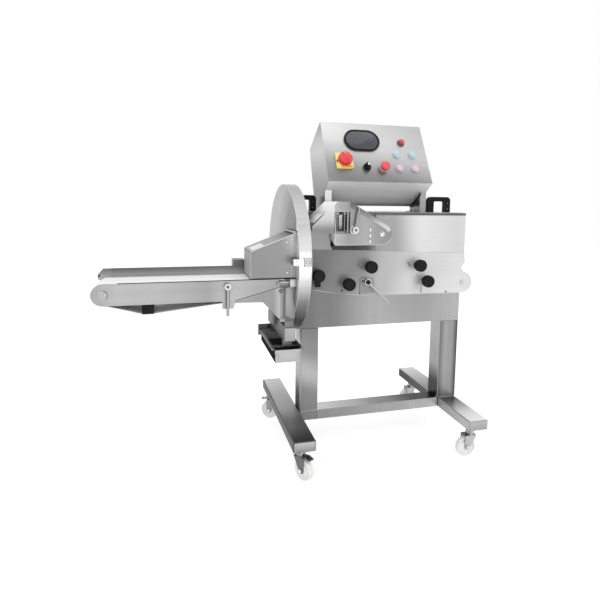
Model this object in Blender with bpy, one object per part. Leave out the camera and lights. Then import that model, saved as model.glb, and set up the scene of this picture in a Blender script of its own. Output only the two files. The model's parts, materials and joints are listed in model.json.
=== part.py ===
# Conveyor-fed meat slicer on a wheeled stand.
# X runs along the conveyors, -Y is the operator's side, +Z is up. Metres.
import math

import bmesh
import bpy
from mathutils import Matrix, Vector

for old in list(bpy.data.objects):
    bpy.data.objects.remove(old, do_unlink=True)

# Overall sizes. The stand takes up what the head leaves of the height, and heights from the cabinet
# on are measured from the stand's top. The conveyor takes up what the console, the handle beside it
# and the lid's margin leave of the length.
LENGTH = 1.350
DEPTH = 0.600
HEIGHT = 1.250
HEAD_HEIGHT = 0.771
GAP = 0.0003
OVERRUN = 0.010
FRONT = -DEPTH / 2
STAND_HEIGHT = HEIGHT - HEAD_HEIGHT

# What stands along the lid, which sets the cabinet's right end
CONSOLE_LEFT = 0.1045
CONSOLE_WIDTH = 0.4125
HANDLE_CLEAR = 0.024
HANDLE_WIDTH = 0.097
LID_MARGIN = 0.037
CONSOLE_RIGHT = CONSOLE_LEFT + CONSOLE_WIDTH
RIGHT_HANDLE_X = CONSOLE_RIGHT + HANDLE_CLEAR + HANDLE_WIDTH / 2
RIGHT = RIGHT_HANDLE_X + HANDLE_WIDTH / 2 + LID_MARGIN
LEFT = RIGHT - LENGTH

# Stand
CASTER_HEIGHT = 0.119
BEAM_WIDTH = 0.078
BEAM_HEIGHT = 0.038
TUBE_EDGE = 0.003
LEFT_BEAM_X = -0.064
POST_FRONT = -0.068
POST_DEPTH = 0.077
LEFT_POST_WIDTH = 0.070
CROSS_DEPTH = 0.070

# Casters
WHEEL_RADIUS = 0.0375
WHEEL_WIDTH = 0.024
WHEEL_HUB_RADIUS = 0.011
TREAD_EDGE = 0.004
AXLE_RADIUS = 0.005
CASTER_INSET = 0.055
CASTER_TRAIL = 0.017
FORK_CHEEK = 0.003
FORK_CLEAR = 0.002
FORK_CROWN = 0.006
SWIVEL_RADIUS = 0.018
SWIVEL_HEIGHT = 0.014
PEDAL_WIDTH = 0.022
PEDAL_LENGTH = 0.026
PEDAL_THICKNESS = 0.004
PEDAL_TILT = math.radians(14)
PEDAL_TREAD_SHARE = 0.8
PEDAL_HEEL_SHARE = 0.9
PEDAL_FALL_SHARES = (0.6, 0.5)
RACE_SHARE = 0.9
RACE_NECK_SHARE = 0.72
WHEEL_HUB_SHARE = 0.45
WHEEL_DISH_SHARES = (0.55, 0.8)
WHEEL_WEB_SHARE = 0.7

# Cabinet
SHEET = 0.003
CABINET_LEFT = -0.0067
CABINET_BACK = 0.234
CABINET_TOP = 0.431
LID_THICKNESS = 0.003
LID_RIM = 0.018
LOUVRE_COUNT = 6
LOUVRE_LENGTH = 0.150
LOUVRE_HEIGHT = 0.008
LOUVRE_PITCH = 0.020
LOUVRE_RISE = 0.150
GLAND_RADIUS = 0.012
GLAND_LENGTH = 0.022
GLAND_NUT_SHARE = 0.7
GLAND_BORE_SHARE = 0.4
GLAND_Z = 0.061
HANDLE_RISE = 0.061
HANDLE_LEG = 0.024
HANDLE_BAR = 0.018
HANDLE_DEPTH = 0.022
HANDLE_CORNER = 0.015
RIGHT_HANDLE_Y = -0.020
LEFT_HANDLE_X = 0.0427
LEFT_HANDLE_Y = 0.027

# Console
FACE_FOOT_Y = -0.101
FACE_FOOT_Z = 0.545
FACE_TOP_Y = 0.023
CONSOLE_BACK_Y = 0.171
CONSOLE_BACK_Z = 0.6796
CONSOLE_HEEL_Y = 0.084
CONSOLE_KEEL_Y = 0.030
CONSOLE_KEEL_Z = 0.456
LEG_FRONT_Y = -0.0545
LEG_BEND_Z = 0.517
LEG_BACK_Y = 0.070
LEG_FLANGE = 0.026
LEG_SHEET = 0.0024

# Console controls, measured along the face: across from its left edge, up from its foot
DISPLAY_WIDTH = 0.142
DISPLAY_HEIGHT = 0.092
DISPLAY_THICKNESS = 0.006
DISPLAY_RIM = 0.007
DISPLAY_ACROSS = 0.1535
DISPLAY_UP = 0.1785
SWITCH_PLATE = 0.064
SWITCH_PLATE_THICKNESS = 0.009
SWITCH_ACROSS = 0.069
SWITCH_UP = 0.084
SWITCH_KNOB_RADIUS = 0.026
SWITCH_KNOB_HEIGHT = 0.026
SWITCH_STEM_RADIUS = 0.006
SELECTOR_ACROSS = 0.155
LOWER_ROW_UP = 0.060
UPPER_ROW_UP = 0.121
PILOT_UP = 0.176
STOP_ACROSS = 0.223
FIRST_BUTTON_ACROSS = 0.287
SECOND_BUTTON_ACROSS = 0.352
PILOT_ACROSS = 0.3145
BEZEL_RADIUS = 0.0145
BEZEL_HEIGHT = 0.004
BUTTON_RADIUS = 0.011
BUTTON_HEIGHT = 0.010
BUTTON_TRAVEL = 0.003
STEM_RADIUS = 0.0075
STEM_LENGTH = 0.020
SELECTOR_RADIUS = 0.0135
SELECTOR_HEIGHT = 0.018
STOP_HEAD_RADIUS = 0.018
STOP_HEAD_HEIGHT = 0.012
STOP_NECK_RADIUS = 0.011
STOP_NECK_HEIGHT = 0.014
PILOT_RADIUS = 0.013
PILOT_HEIGHT = 0.012
PANE_DEPTH_SHARE = 0.7
SWITCH_BODY_SHARES = (0.45, 0.5)
SWITCH_TAPER_SHARES = (0.9, 0.82)
SWITCH_WAIST_SHARE = 1.25
COLLAR_SHARE = 0.93
DOME_SHARE = 0.85
DOME_EDGE_SHARE = 0.8
LENS_SHARE = 0.7

# Blade drum
DRUM_RADIUS = 0.265
DRUM_Y = -0.031
DRUM_Z = 0.267
DRUM_LEFT = -0.050
DRUM_WIDTH = 0.043
BLADE_TIP_RADIUS = 0.244
BLADE_ROOT_RADIUS = 0.090
BLADE_THICKNESS = 0.003
BLADE_X = -0.0215
BLADE_BEVEL = 0.012
BLADE_GROWTH_SHARE = 0.8
BLADE_START = math.radians(150)
BLADE_SWEEP = math.radians(290)
HUB_RADIUS = 0.048
HUB_THICKNESS = 0.006
HUB_BOLT_CIRCLE = 0.034
HUB_BOLT_RADIUS = 0.005
HUB_BOLTS = 4
SHAFT_RADIUS = 0.014
SHAFT_END = 0.055
SHAFT_HOLE_RADIUS = 0.0224
SHAFT_NOSE_SHARE = 0.7
MOTOR_FLANGE_RADIUS = 0.033
MOTOR_FLANGE = 0.012
MOTOR_RADIUS = 0.031
MOTOR_LENGTH = 0.210
MOTOR_COVER_RADIUS = 0.028
MOTOR_NOSE = 0.030
MOTOR_WAIST_SHARE = 0.75
MOTOR_COVER_SHARE = 0.9

# Outfeed conveyor
CONVEYOR_FRONT = -0.252
CONVEYOR_BACK = -0.105
TIP_RADIUS = 0.033
TIP_SLOT_RADIUS = 0.015
TIP_SLOT_WIDTH = 0.004
TIP_SLOT_START = -35
TIP_SLOT_END = 75
TIP_Z = 0.186
BELT = 0.003
BELT_SIDE_GAP = 0.002
ROLLER_CLEAR = 0.0005
PLATE_END_X = -0.104
PLATE_TAPER_X = -0.247
PLATE_END_Z = 0.194
PLATE_TAPER_Z = 0.1555
GUSSET_SLIT = 0.0015
GUARD_SETBACK = 0.020
GUARD_TOP = 0.248
GUARD_LEFT = LEFT + GUARD_SETBACK
GUARD_CHAMFER = 0.021
DRIVE_X = -0.098
DRIVE_RADIUS = 0.035
ROLLER_SHAFT_RADIUS = 0.008
BED_THICKNESS = 0.012
BED_LEFT_SETBACK = 0.040
BED_RIGHT_SETBACK = 0.030
TENSION_SETBACK = 0.111
TENSION_WIDTH = 0.037
TENSION_BOTTOM = 0.124
TENSION_TAPER = 0.006
SAG_END_Z = 0.148
SAG_SHARE = 0.53
TAB_LEFT = -0.289
TAB_RIGHT = -0.250
TAB_BOTTOM = 0.129
DRIVE_BOX_LEFT = -0.239
DRIVE_BOX_TOP = 0.269
DRIVE_BOX_DEPTH = 0.045
DRIVE_BOX_BOTTOM = 0.171
CLAMP_X = -0.273
CLAMP_Z = 0.203
CLAMP_HUB_RADIUS = 0.010
CLAMP_HUB_LENGTH = 0.016
CLAMP_BAR_RADIUS = 0.0055
CLAMP_BAR_LENGTH = 0.094

# Discharge hood and its latch
HOOD_LEFT = -0.199
HOOD_BOTTOM = 0.224
HOOD_LOW_Z = 0.311
HOOD_HIGH_Z = 0.369
HOOD_WALL = 0.002
HOOD_HINGE_RADIUS = 0.005
HOOD_HINGE_SETBACK = 0.006
HOOD_LUG_BOTTOM = 0.269
HOOD_LUG_TOP = 0.289
STRAP_BOTTOM = 0.268
STRAP_TOP = 0.289
STRAP_LEFT = -0.069
STRAP_THICKNESS = 0.002
CATCH_LENGTH = 0.024
CATCH_THICKNESS = 0.0024
CATCH_SETBACK = 0.002
LATCH_PIN_RADIUS = 0.0017

# Conveyor bracket and scrap tray
GUSSET_CORNER_X = -0.160
GUSSET_FOOT_X = -0.104
GUSSET_FOOT_Z = 0.086
GUSSET_RIGHT = -0.083
GUSSET_THICKNESS = 0.003
REAR_GUSSET_FOOT_Z = 0.033
HANGER_TUBE_LEFT = -0.089
HANGER_TUBE_BOTTOM = 0.009
HANGER_TUBE_HEIGHT = 0.049
HANGER_TUBE_FRONT = -0.258
HANGER_TUBE_BACK = 0.040
PIVOT_BLOCK = 0.024
PIVOT_BLOCK_DEPTH = 0.012
PIVOT_BLOCK_LEFT = -0.072
PIVOT_Z = 0.206
PIVOT_RADIUS = 0.005
PIVOT_SEAT_SHARE = 0.6
TRAY_LEFT = -0.117
TRAY_RIGHT = -0.030
TRAY_FRONT = -0.252
TRAY_BACK = 0.030
TRAY_BOTTOM = -0.061
TRAY_TOP = -0.019
TRAY_WALL = 0.002
TRAY_FLANGE = 0.006
TRAY_LIP = 0.010
RAIL_WALL = 0.002
RAIL_FRONT = -0.236
STRAP_BAR = 0.018
HANGER_STOP_TOP = 0.001
HANGER_STOP_LEFT = -0.129

# Feed channel
CHANNEL_FRONT = -0.240
CHANNEL_LEFT = 0.0
CHANNEL_RIGHT = 0.578
CHANNEL_TOP = 0.434
REAR_WALL_Y = -0.105
TAIL_SETBACK = 0.004
TAIL_X = CHANNEL_RIGHT - TAIL_SETBACK
TAIL_Z = 0.187
TAIL_RADIUS = 0.033
NOSE_X = 0.032
NOSE_Z = 0.205
NOSE_RADIUS = 0.015
COVER_RADIUS = 0.038
COVER_LIP = 0.0105
LIP_WALL = 0.002
COVER_LEFT_LOW = 0.180
COVER_LEVEL_Z = 0.152
COVER_CURVE_END = 0.235
COVER_SEAM_RUN = 0.400
COVER_SEAM_LOW = 0.2985
COVER_SEAM_LEFT = 0.313
COVER_SEAM_MID = 0.307
COVER_SEAM_RIGHT = 0.293
COVER_SEAM_MID_X = 0.250
COVER_NOTCH_SETBACK = 0.012
COVER_CORNER_Z = 0.260
COVER_NOTCH_X = CHANNEL_RIGHT - COVER_NOTCH_SETBACK
COVER_NOTCH_Z = 0.244
FEED_SIDE_GAP = 0.008
FEED_BED_THICKNESS = 0.008
FEED_BED_SETBACK = 0.045
COVER_CURVE_SHARE = 1.7
GUARD_SLOPE_SHARE = 0.62
GUARD_LOW_Z = 0.373
GUARD_HIGH_X = 0.070
FEED_STUB_RADIUS = 0.008
WALL_SLOT_RIGHT = 0.232
WALL_SLOT_BOTTOM = 0.301
LEDGE_INSET = 0.020
LEDGE_DROP = 0.040
TIE_RADIUS = 0.006
TIE_SETBACK = 0.074
TIE_X = TAIL_X - TIE_SETBACK
TIE_SECOND_X = 0.110
TIE_SECOND_Z = 0.197
TENT_RIGHT = 0.188

# Presser
PRESSER_FRONT = -0.252
PRESSER_PIVOT_X = 0.250
PRESSER_PIVOT_Z = 0.364
PRESSER_END_RADIUS = 0.037
PRESSER_FOOT_X = 0.083
PRESSER_HEEL_X = 0.069
PRESSER_HEEL_Z = 0.348
PRESSER_BOTTOM = 0.327
PRESSER_PEAK_Z = 0.473
PRESSER_PEAK_LEFT = 0.089
PRESSER_PEAK_RIGHT = 0.134
PRESSER_GUARD_LOW_X = 0.003
PRESSER_GUARD_LOW_Z = 0.389
PRESSER_GUARD_EDGE = 0.010
PRESSER_NECK_Z = 0.367
WINDOW_LEFT = 0.080
WINDOW_RIGHT = 0.135
WINDOW_BOTTOM = 0.367
WINDOW_TOP = 0.442
ARM_TOE_X = 0.085
ARM_TOE_Z = 0.350
ARM_TOE_RADIUS = 0.012
ARM_HEEL_RADIUS = 0.028
PIVOT_PIN_RADIUS = 0.006
CARRIER_X = 0.112
CARRIER_WIDTH = 0.044
CARRIER_DEPTH = 0.016
CARRIER_Z = 0.373
ROD_RADIUS = 0.0028
ROD_SPACING = 0.026
ROD_TOP = 0.437
SPRING_RADIUS = 0.0062
SPRING_WIRE = 0.0011
SPRING_COIL = 0.0050
ROD_Y = -0.222
SPRING_TURNS = 9
SPRING_STEPS = 8
SPRING_TOP = 0.429
PRESSER_LEVER_X = 0.150
PRESSER_LEVER_Z = 0.379
LEVER_HUB_RADIUS = 0.011
LEVER_HUB_LENGTH = 0.012
LEVER_BAR_RADIUS = 0.0045
BAR_TAPER_SHARE = 0.8
PRESSER_LEVER_LENGTH = 0.076
PRESSER_LEVER_LEAN = math.radians(81)

# Knobs and the belt release lever
KNOB_RADIUS = 0.021
KNOB_FRONT = -0.288
KNOB_THICKNESS = 0.020
KNOB_RIM = 0.003
KNOB_STEM_RADIUS = 0.006
KNOB_FACE_SHARE = 0.6
KNOB_PLACES = {
    "clamp_knob_1": (0.021, 0.230),
    "clamp_knob_2": (0.1275, 0.198),
    "clamp_knob_3": (0.205, 0.255),
    "clamp_knob_4": (0.387, 0.256),
    "clamp_knob_5": (0.4185, 0.200),
}
KNOB_ARM_LENGTH = 0.036
KNOB_ARM_WIDTH = 0.013
KNOB_ARM_THICKNESS = 0.006
KNOB_PIN_RADIUS = 0.0025
KNOB_PIN_REACH = 0.020
KNOB_PIN_DROP = 0.041
RELEASE_X = 0.1965
RELEASE_Z = 0.203
RELEASE_LENGTH = 0.114
RELEASE_ANGLE = math.radians(-43.6)
RELEASE_BASE = 0.056
RELEASE_BASE_THICKNESS = 0.003
RELEASE_BAR_RADIUS = 0.0042
RELEASE_STANDOFF = 0.022

# Facet counts of round pieces
BIG_FACETS = 72
MID_FACETS = 24
SMALL_FACETS = 16
BOLT_FACETS = 8
ARC_STEPS = 10

DRUM_RIGHT = DRUM_LEFT + DRUM_WIDTH
DRIVE_Z = TIP_Z + TIP_RADIUS - BELT - ROLLER_CLEAR - DRIVE_RADIUS
LEFT_BEAM_RIGHT = LEFT_BEAM_X + BEAM_WIDTH
RIGHT_BEAM_LEFT = RIGHT - BEAM_WIDTH
BEAM_TOP = CASTER_HEIGHT + BEAM_HEIGHT
COVER_BACK = CHANNEL_FRONT - GAP
COVER_FRONT = COVER_BACK - SHEET
LID_TOP = CABINET_TOP + LID_THICKNESS
TIP_X = LEFT + TIP_RADIUS
TENSION_LEFT = TIP_X + TENSION_SETBACK
TENSION_RIGHT = TENSION_LEFT + TENSION_WIDTH
BELT_TOP = TIP_Z + TIP_RADIUS
PLATE_BOTTOM = TIP_Z - TIP_RADIUS
REAR_INNER = REAR_WALL_Y - SHEET

model = bpy.data.collections.new("meat_slicer")
bpy.context.scene.collection.children.link(model)
tools = bpy.data.collections.new("cutters")
bpy.context.scene.collection.children.link(tools)


def finish(name, colour, roughness, metallic):
    material = bpy.data.materials.new(name)
    material.use_nodes = True
    shader = material.node_tree.nodes["Principled BSDF"]
    shader.inputs["Base Color"].default_value = (*colour, 1)
    shader.inputs["Roughness"].default_value = roughness
    shader.inputs["Metallic"].default_value = metallic
    material.diffuse_color = (*colour, 1)
    return material


STEEL = finish("brushed_stainless", (0.62, 0.62, 0.61), 0.32, 1)
BRIGHT = finish("polished_steel", (0.78, 0.78, 0.78), 0.15, 1)
BLACK = finish("black_plastic", (0.02, 0.02, 0.02), 0.45, 0)
WHITE_BELT = finish("white_belt", (0.86, 0.87, 0.86), 0.55, 0)
NYLON = finish("white_nylon", (0.85, 0.85, 0.83), 0.4, 0)
RED = finish("red_plastic", (0.75, 0.03, 0.04), 0.35, 0)
YELLOW = finish("yellow_plate", (0.9, 0.7, 0.05), 0.4, 0)
GREEN = finish("green_plastic", (0.1, 0.6, 0.55), 0.3, 0)
PINK = finish("pink_red_plastic", (0.8, 0.35, 0.5), 0.3, 0)
SCREEN = finish("dark_screen", (0.03, 0.04, 0.06), 0.2, 0)


def place(name, mesh, material, collection=model):
    obj = bpy.data.objects.new(name, mesh)
    collection.objects.link(obj)
    if material:
        mesh.materials.append(material)
    return obj


def bmesh_object(name, bm, material=None, collection=tools):
    bmesh.ops.recalc_face_normals(bm, faces=bm.faces)
    mesh = bpy.data.meshes.new(name)
    bm.to_mesh(mesh)
    bm.free()
    return place(name, mesh, material, collection)


def block(low, high, name="block", bevel=0.0):
    """A box between two corners, made from a unit cube."""
    bm = bmesh.new()
    size = [high[i] - low[i] for i in range(3)]
    centre = [(high[i] + low[i]) / 2 for i in range(3)]
    bmesh.ops.create_cube(bm, size=1)
    bmesh.ops.scale(bm, vec=size, verts=bm.verts)
    bmesh.ops.translate(bm, vec=centre, verts=bm.verts)
    if bevel:
        bmesh.ops.bevel(bm, geom=bm.edges[:], offset=bevel, segments=1, affect="EDGES", profile=0.5)
    return bmesh_object(name, bm)


def rod(radius, start, end, facets=SMALL_FACETS, end_radius=None, name="rod"):
    """A straight cylinder or cone between two points."""
    bm = bmesh.new()
    start, end = Vector(start), Vector(end)
    span = end - start
    top = radius if end_radius is None else end_radius
    bmesh.ops.create_cone(bm, cap_ends=True, segments=facets, radius1=radius, radius2=top,
                          depth=span.length)
    turn = Vector((0, 0, 1)).rotation_difference(span.normalized()).to_matrix().to_4x4()
    bmesh.ops.transform(bm, matrix=Matrix.Translation((start + end) / 2) @ turn, verts=bm.verts)
    return bmesh_object(name, bm)


def outline_plate(outline, start, end, facing="Y", name="plate"):
    """A flat outline made thick along Y (outline in X,Z) or along X (outline in Y,Z)."""
    curve = bpy.data.curves.new(name, "CURVE")
    curve.dimensions = "2D"
    curve.fill_mode = "BOTH"
    curve.extrude = abs(end - start) / 2
    spline = curve.splines.new("POLY")
    spline.points.add(len(outline) - 1)
    for point, (u, v) in zip(spline.points, outline):
        point.co = (u, v, 0, 1)
    spline.use_cyclic_u = True
    guide = bpy.data.objects.new(name, curve)
    tools.objects.link(guide)
    middle = (start + end) / 2
    if facing == "Y":
        guide.matrix_world = Matrix.Translation((0, middle, 0)) @ Matrix.Rotation(math.pi / 2, 4, "X")
    else:
        turn = Matrix(((0, 0, 1, 0), (1, 0, 0, 0), (0, 1, 0, 0), (0, 0, 0, 1)))
        guide.matrix_world = Matrix.Translation((middle, 0, 0)) @ turn
    return curve_to_mesh(guide, name)


def bent_rod(points, radius, name="bent_rod", resolution=2):
    """A round bar along a list of points, with filled ends."""
    curve = bpy.data.curves.new(name, "CURVE")
    curve.dimensions = "3D"
    curve.bevel_depth = radius
    curve.bevel_resolution = resolution
    curve.use_fill_caps = True
    spline = curve.splines.new("POLY")
    spline.points.add(len(points) - 1)
    for point, co in zip(spline.points, points):
        point.co = (*co, 1)
    guide = bpy.data.objects.new(name, curve)
    tools.objects.link(guide)
    return curve_to_mesh(guide, name)


def curve_to_mesh(guide, name):
    """Turn a curve object into a welded mesh object whose place is in its mesh."""
    graph = bpy.context.evaluated_depsgraph_get()
    graph.update()
    mesh = bpy.data.meshes.new_from_object(guide.evaluated_get(graph))
    matrix = guide.matrix_world.copy()
    bpy.data.objects.remove(guide, do_unlink=True)
    bm = bmesh.new()
    bm.from_mesh(mesh)
    bmesh.ops.remove_doubles(bm, verts=bm.verts, dist=GAP / 30)
    bmesh.ops.transform(bm, matrix=matrix, verts=bm.verts)
    return bmesh_object(name, bm)


def turned(profile, origin, axis, facets=MID_FACETS, name="turned"):
    """A solid of revolution: profile points are (distance along the axis, radius)."""
    bm = bmesh.new()
    verts = [bm.verts.new((radius, 0, along)) for along, radius in profile]
    edges = [bm.edges.new(pair) for pair in zip(verts, verts[1:])]
    bmesh.ops.spin(bm, geom=verts + edges, angle=2 * math.pi, steps=facets, use_merge=True,
                   axis=(0, 0, 1), cent=(0, 0, 0))
    bmesh.ops.remove_doubles(bm, verts=bm.verts, dist=GAP / 30)
    turn = Vector((0, 0, 1)).rotation_difference(Vector(axis).normalized()).to_matrix().to_4x4()
    bmesh.ops.transform(bm, matrix=Matrix.Translation(origin) @ turn, verts=bm.verts)
    return bmesh_object(name, bm)


def arc(centre, radius, start, end, steps=ARC_STEPS):
    """Points along an arc in an outline's own plane, angles in degrees."""
    points = []
    for i in range(steps + 1):
        angle = math.radians(start + (end - start) * i / steps)
        points.append((centre[0] + radius * math.cos(angle), centre[1] + radius * math.sin(angle)))
    return points


def boolean(obj, other, operation):
    modifier = obj.modifiers.new(operation.lower(), "BOOLEAN")
    modifier.operation = operation
    modifier.solver = "EXACT"
    modifier.object = other
    other.hide_render = True
    other.display_type = "WIRE"
    return obj


def join(obj, *others):
    for other in others:
        boolean(obj, other, "UNION")
    return obj


def cut(obj, *others):
    for other in others:
        boolean(obj, other, "DIFFERENCE")
    return obj


def lift(obj, height):
    """Raise an object together with the shapes that cut or join it."""
    obj.location.z += height
    for modifier in obj.modifiers:
        lift(modifier.object, height)


def publish(obj, name, material, pivot=None, parent=None, base=STAND_HEIGHT):
    """Move a finished solid to the model on its base, with its origin on its joint's axis."""
    tools.objects.unlink(obj)
    model.objects.link(obj)
    obj.name = name
    obj.data.materials.clear()
    obj.data.materials.append(material)
    if pivot is not None:
        obj.data.transform(Matrix.Translation(-Vector(pivot)))
        obj.location = pivot
    lift(obj, base)
    if parent is not None:
        obj.parent = parent
        obj.matrix_parent_inverse = parent.matrix_world.inverted()
    obj.data.shade_smooth()
    obj.data.set_sharp_from_angle(angle=math.radians(30))
    return obj


def hinge(name, place_at):
    empty = bpy.data.objects.new(name, None)
    empty.location = place_at
    model.objects.link(empty)
    bpy.context.view_layer.update()
    return empty


# Stand
def foot_beam(name, left):
    beam = block((left, FRONT, CASTER_HEIGHT), (left + BEAM_WIDTH, -FRONT, BEAM_TOP), bevel=TUBE_EDGE)
    publish(beam, name, STEEL, base=0)


def stand_uprights():
    """The cross beam with both posts welded to it."""
    back = POST_FRONT + POST_DEPTH
    left = LEFT_BEAM_RIGHT + GAP
    right = RIGHT_BEAM_LEFT - GAP
    top = STAND_HEIGHT - GAP
    cross = block((left, POST_FRONT, CASTER_HEIGHT), (right, POST_FRONT + CROSS_DEPTH, BEAM_TOP),
                  bevel=TUBE_EDGE)
    left_post = block((left, POST_FRONT, CASTER_HEIGHT), (left + LEFT_POST_WIDTH, back, top),
                      bevel=TUBE_EDGE)
    right_post = block((right - TUBE_EDGE, POST_FRONT, BEAM_TOP + GAP), (RIGHT, back, top),
                       bevel=TUBE_EDGE / 2)
    inset = 2 * TUBE_EDGE
    weld = block((right - inset, POST_FRONT + inset, BEAM_TOP - inset),
                 (right - TUBE_EDGE / 2, POST_FRONT + CROSS_DEPTH - inset, BEAM_TOP + inset))
    join(cross, left_post, weld, right_post)
    publish(cross, "stand_uprights", STEEL, base=0)


# Casters: built with their trail along +X, then turned about the swivel axis
CASTERS = {
    "front_left": (LEFT_BEAM_X + BEAM_WIDTH / 2, FRONT + CASTER_INSET, math.radians(-60), True),
    "front_right": (RIGHT - BEAM_WIDTH / 2, FRONT + CASTER_INSET, math.radians(180), False),
    "rear_left": (LEFT_BEAM_X + BEAM_WIDTH / 2, -FRONT - CASTER_INSET, math.radians(150), True),
    "rear_right": (RIGHT - BEAM_WIDTH / 2, -FRONT - CASTER_INSET, math.radians(180), False),
}


def caster(name, x, y, angle, braked):
    swivel = hinge("swivel_" + name, (x, y, CASTER_HEIGHT))
    inner = WHEEL_WIDTH / 2 + FORK_CLEAR
    outer = inner + FORK_CHEEK
    crown_z = 2 * WHEEL_RADIUS + FORK_CLEAR
    crown_left = -SWIVEL_RADIUS
    crown_right = CASTER_TRAIL + WHEEL_HUB_RADIUS
    fork = block((crown_left, -outer, crown_z), (crown_right, outer, crown_z + FORK_CROWN))
    cheek_top = crown_z + FORK_CROWN / 2
    for side in (-1, 1):
        cheek_outline = [(crown_left + GAP, cheek_top), (crown_right - GAP, cheek_top)]
        cheek_outline += arc((CASTER_TRAIL, WHEEL_RADIUS), WHEEL_HUB_RADIUS - GAP, 0, -180,
                             SMALL_FACETS // 2)
        cheek = outline_plate(cheek_outline, side * inner, side * (outer - GAP))
        join(fork, cheek)
    axle = rod(AXLE_RADIUS, (CASTER_TRAIL, -outer - FORK_CHEEK, WHEEL_RADIUS),
               (CASTER_TRAIL, outer + FORK_CHEEK, WHEEL_RADIUS))
    race_radius = SWIVEL_RADIUS * RACE_SHARE
    neck_radius = SWIVEL_RADIUS * RACE_NECK_SHARE
    race = turned([(cheek_top, 0), (cheek_top, race_radius), (crown_z + 2 * FORK_CROWN, race_radius),
                   (CASTER_HEIGHT - SWIVEL_HEIGHT, neck_radius),
                   (CASTER_HEIGHT - GAP, neck_radius), (CASTER_HEIGHT - GAP, 0)],
                  (0, 0, 0), (0, 0, 1), SMALL_FACETS)
    join(fork, axle, race)
    if braked:
        ear = block((crown_right - FORK_CROWN, -PEDAL_WIDTH / 2, cheek_top),
                    (crown_right - GAP, PEDAL_WIDTH / 2, crown_z + 2 * FORK_CROWN))
        join(fork, ear)
    wheel = turned(wheel_profile(), (CASTER_TRAIL, 0, WHEEL_RADIUS), (0, 1, 0))
    bore = rod(AXLE_RADIUS + GAP, (CASTER_TRAIL, -WHEEL_WIDTH, WHEEL_RADIUS),
               (CASTER_TRAIL, WHEEL_WIDTH, WHEEL_RADIUS))
    cut(wheel, bore)
    pieces = [(fork, "caster_fork_" + name, BRIGHT), (wheel, "caster_wheel_" + name, NYLON)]
    if braked:
        pieces.append((brake_pedal(crown_right, crown_z), "brake_pedal_" + name, BRIGHT))
    turn = Matrix.Translation((x, y, 0)) @ Matrix.Rotation(angle, 4, "Z")
    for obj, node, material in pieces:
        for modifier in obj.modifiers:
            modifier.object.data.transform(turn)
        obj.data.transform(turn)
    wheel_at = turn @ Vector((CASTER_TRAIL, 0, WHEEL_RADIUS))
    pedal_at = turn @ Vector((crown_right, 0, crown_z + 2 * FORK_CROWN))
    origins = [(x, y, CASTER_HEIGHT), wheel_at, pedal_at]
    for (obj, node, material), origin in zip(pieces, origins):
        publish(obj, node, material, origin, swivel, base=0)


def wheel_profile():
    """Half a solid wheel's section from hub to tread, mirrored to the other side."""
    tread = WHEEL_WIDTH / 2
    web = tread * WHEEL_WEB_SHARE
    inner, outer = [WHEEL_RADIUS * share for share in WHEEL_DISH_SHARES]
    half = [(tread, 0), (tread, WHEEL_RADIUS * WHEEL_HUB_SHARE), (web, inner), (web, outer),
            (tread, WHEEL_RADIUS - TREAD_EDGE), (tread - TREAD_EDGE, WHEEL_RADIUS)]
    return [(-along, radius) for along, radius in half] + half[::-1]


def brake_pedal(crown_right, crown_z):
    """A tread plate that rocks on a pin at the fork's ear, above the trailing wheel."""
    pin_x = crown_right + GAP
    pin_z = crown_z + 2 * FORK_CROWN
    fall = PEDAL_LENGTH * math.tan(PEDAL_TILT)
    tread_fall, toe_fall = [fall * share for share in PEDAL_FALL_SHARES]
    outline = [(pin_x, pin_z - PEDAL_THICKNESS), (pin_x, pin_z),
               (pin_x + PEDAL_THICKNESS, pin_z + PEDAL_THICKNESS / 2),
               (pin_x + PEDAL_LENGTH * PEDAL_TREAD_SHARE, pin_z - tread_fall),
               (pin_x + PEDAL_LENGTH, pin_z - toe_fall),
               (pin_x + PEDAL_LENGTH * PEDAL_HEEL_SHARE, pin_z - fall - PEDAL_THICKNESS / 2)]
    return outline_plate(outline, -PEDAL_WIDTH / 2, PEDAL_WIDTH / 2)


# Cabinet
def cabinet():
    shell = block((CABINET_LEFT, POST_FRONT, 0), (RIGHT, CABINET_BACK, CABINET_TOP))
    hollow = block((CABINET_LEFT + SHEET, POST_FRONT + SHEET, SHEET),
                   (RIGHT - SHEET, CABINET_BACK - SHEET, CABINET_TOP + OVERRUN))
    shaft_hole = rod(SHAFT_HOLE_RADIUS, (CABINET_LEFT - OVERRUN, DRUM_Y, DRUM_Z),
                     (CABINET_LEFT + SHEET + OVERRUN, DRUM_Y, DRUM_Z), MID_FACETS)
    cut(shell, hollow, shaft_hole)
    louvre_right = RIGHT - LOUVRE_LENGTH / 2
    for i in range(LOUVRE_COUNT):
        low = LOUVRE_RISE + i * LOUVRE_PITCH
        slot = block((louvre_right - LOUVRE_LENGTH, CABINET_BACK - SHEET - OVERRUN, low),
                     (louvre_right, CABINET_BACK + OVERRUN, low + LOUVRE_HEIGHT))
        cut(shell, slot)
    gland_bore = GLAND_RADIUS * GLAND_BORE_SHARE
    gland = turned([(-SHEET, 0), (-SHEET, GLAND_RADIUS), (GLAND_LENGTH / 2, GLAND_RADIUS),
                    (GLAND_LENGTH, GLAND_RADIUS * GLAND_NUT_SHARE), (GLAND_LENGTH, gland_bore),
                    (GLAND_LENGTH / 3, gland_bore), (GLAND_LENGTH / 3, 0)],
                   (RIGHT - LOUVRE_LENGTH, CABINET_BACK, GLAND_Z), (0, 1, 0), SMALL_FACETS)
    join(shell, gland)
    publish(shell, "cabinet", STEEL)


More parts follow.
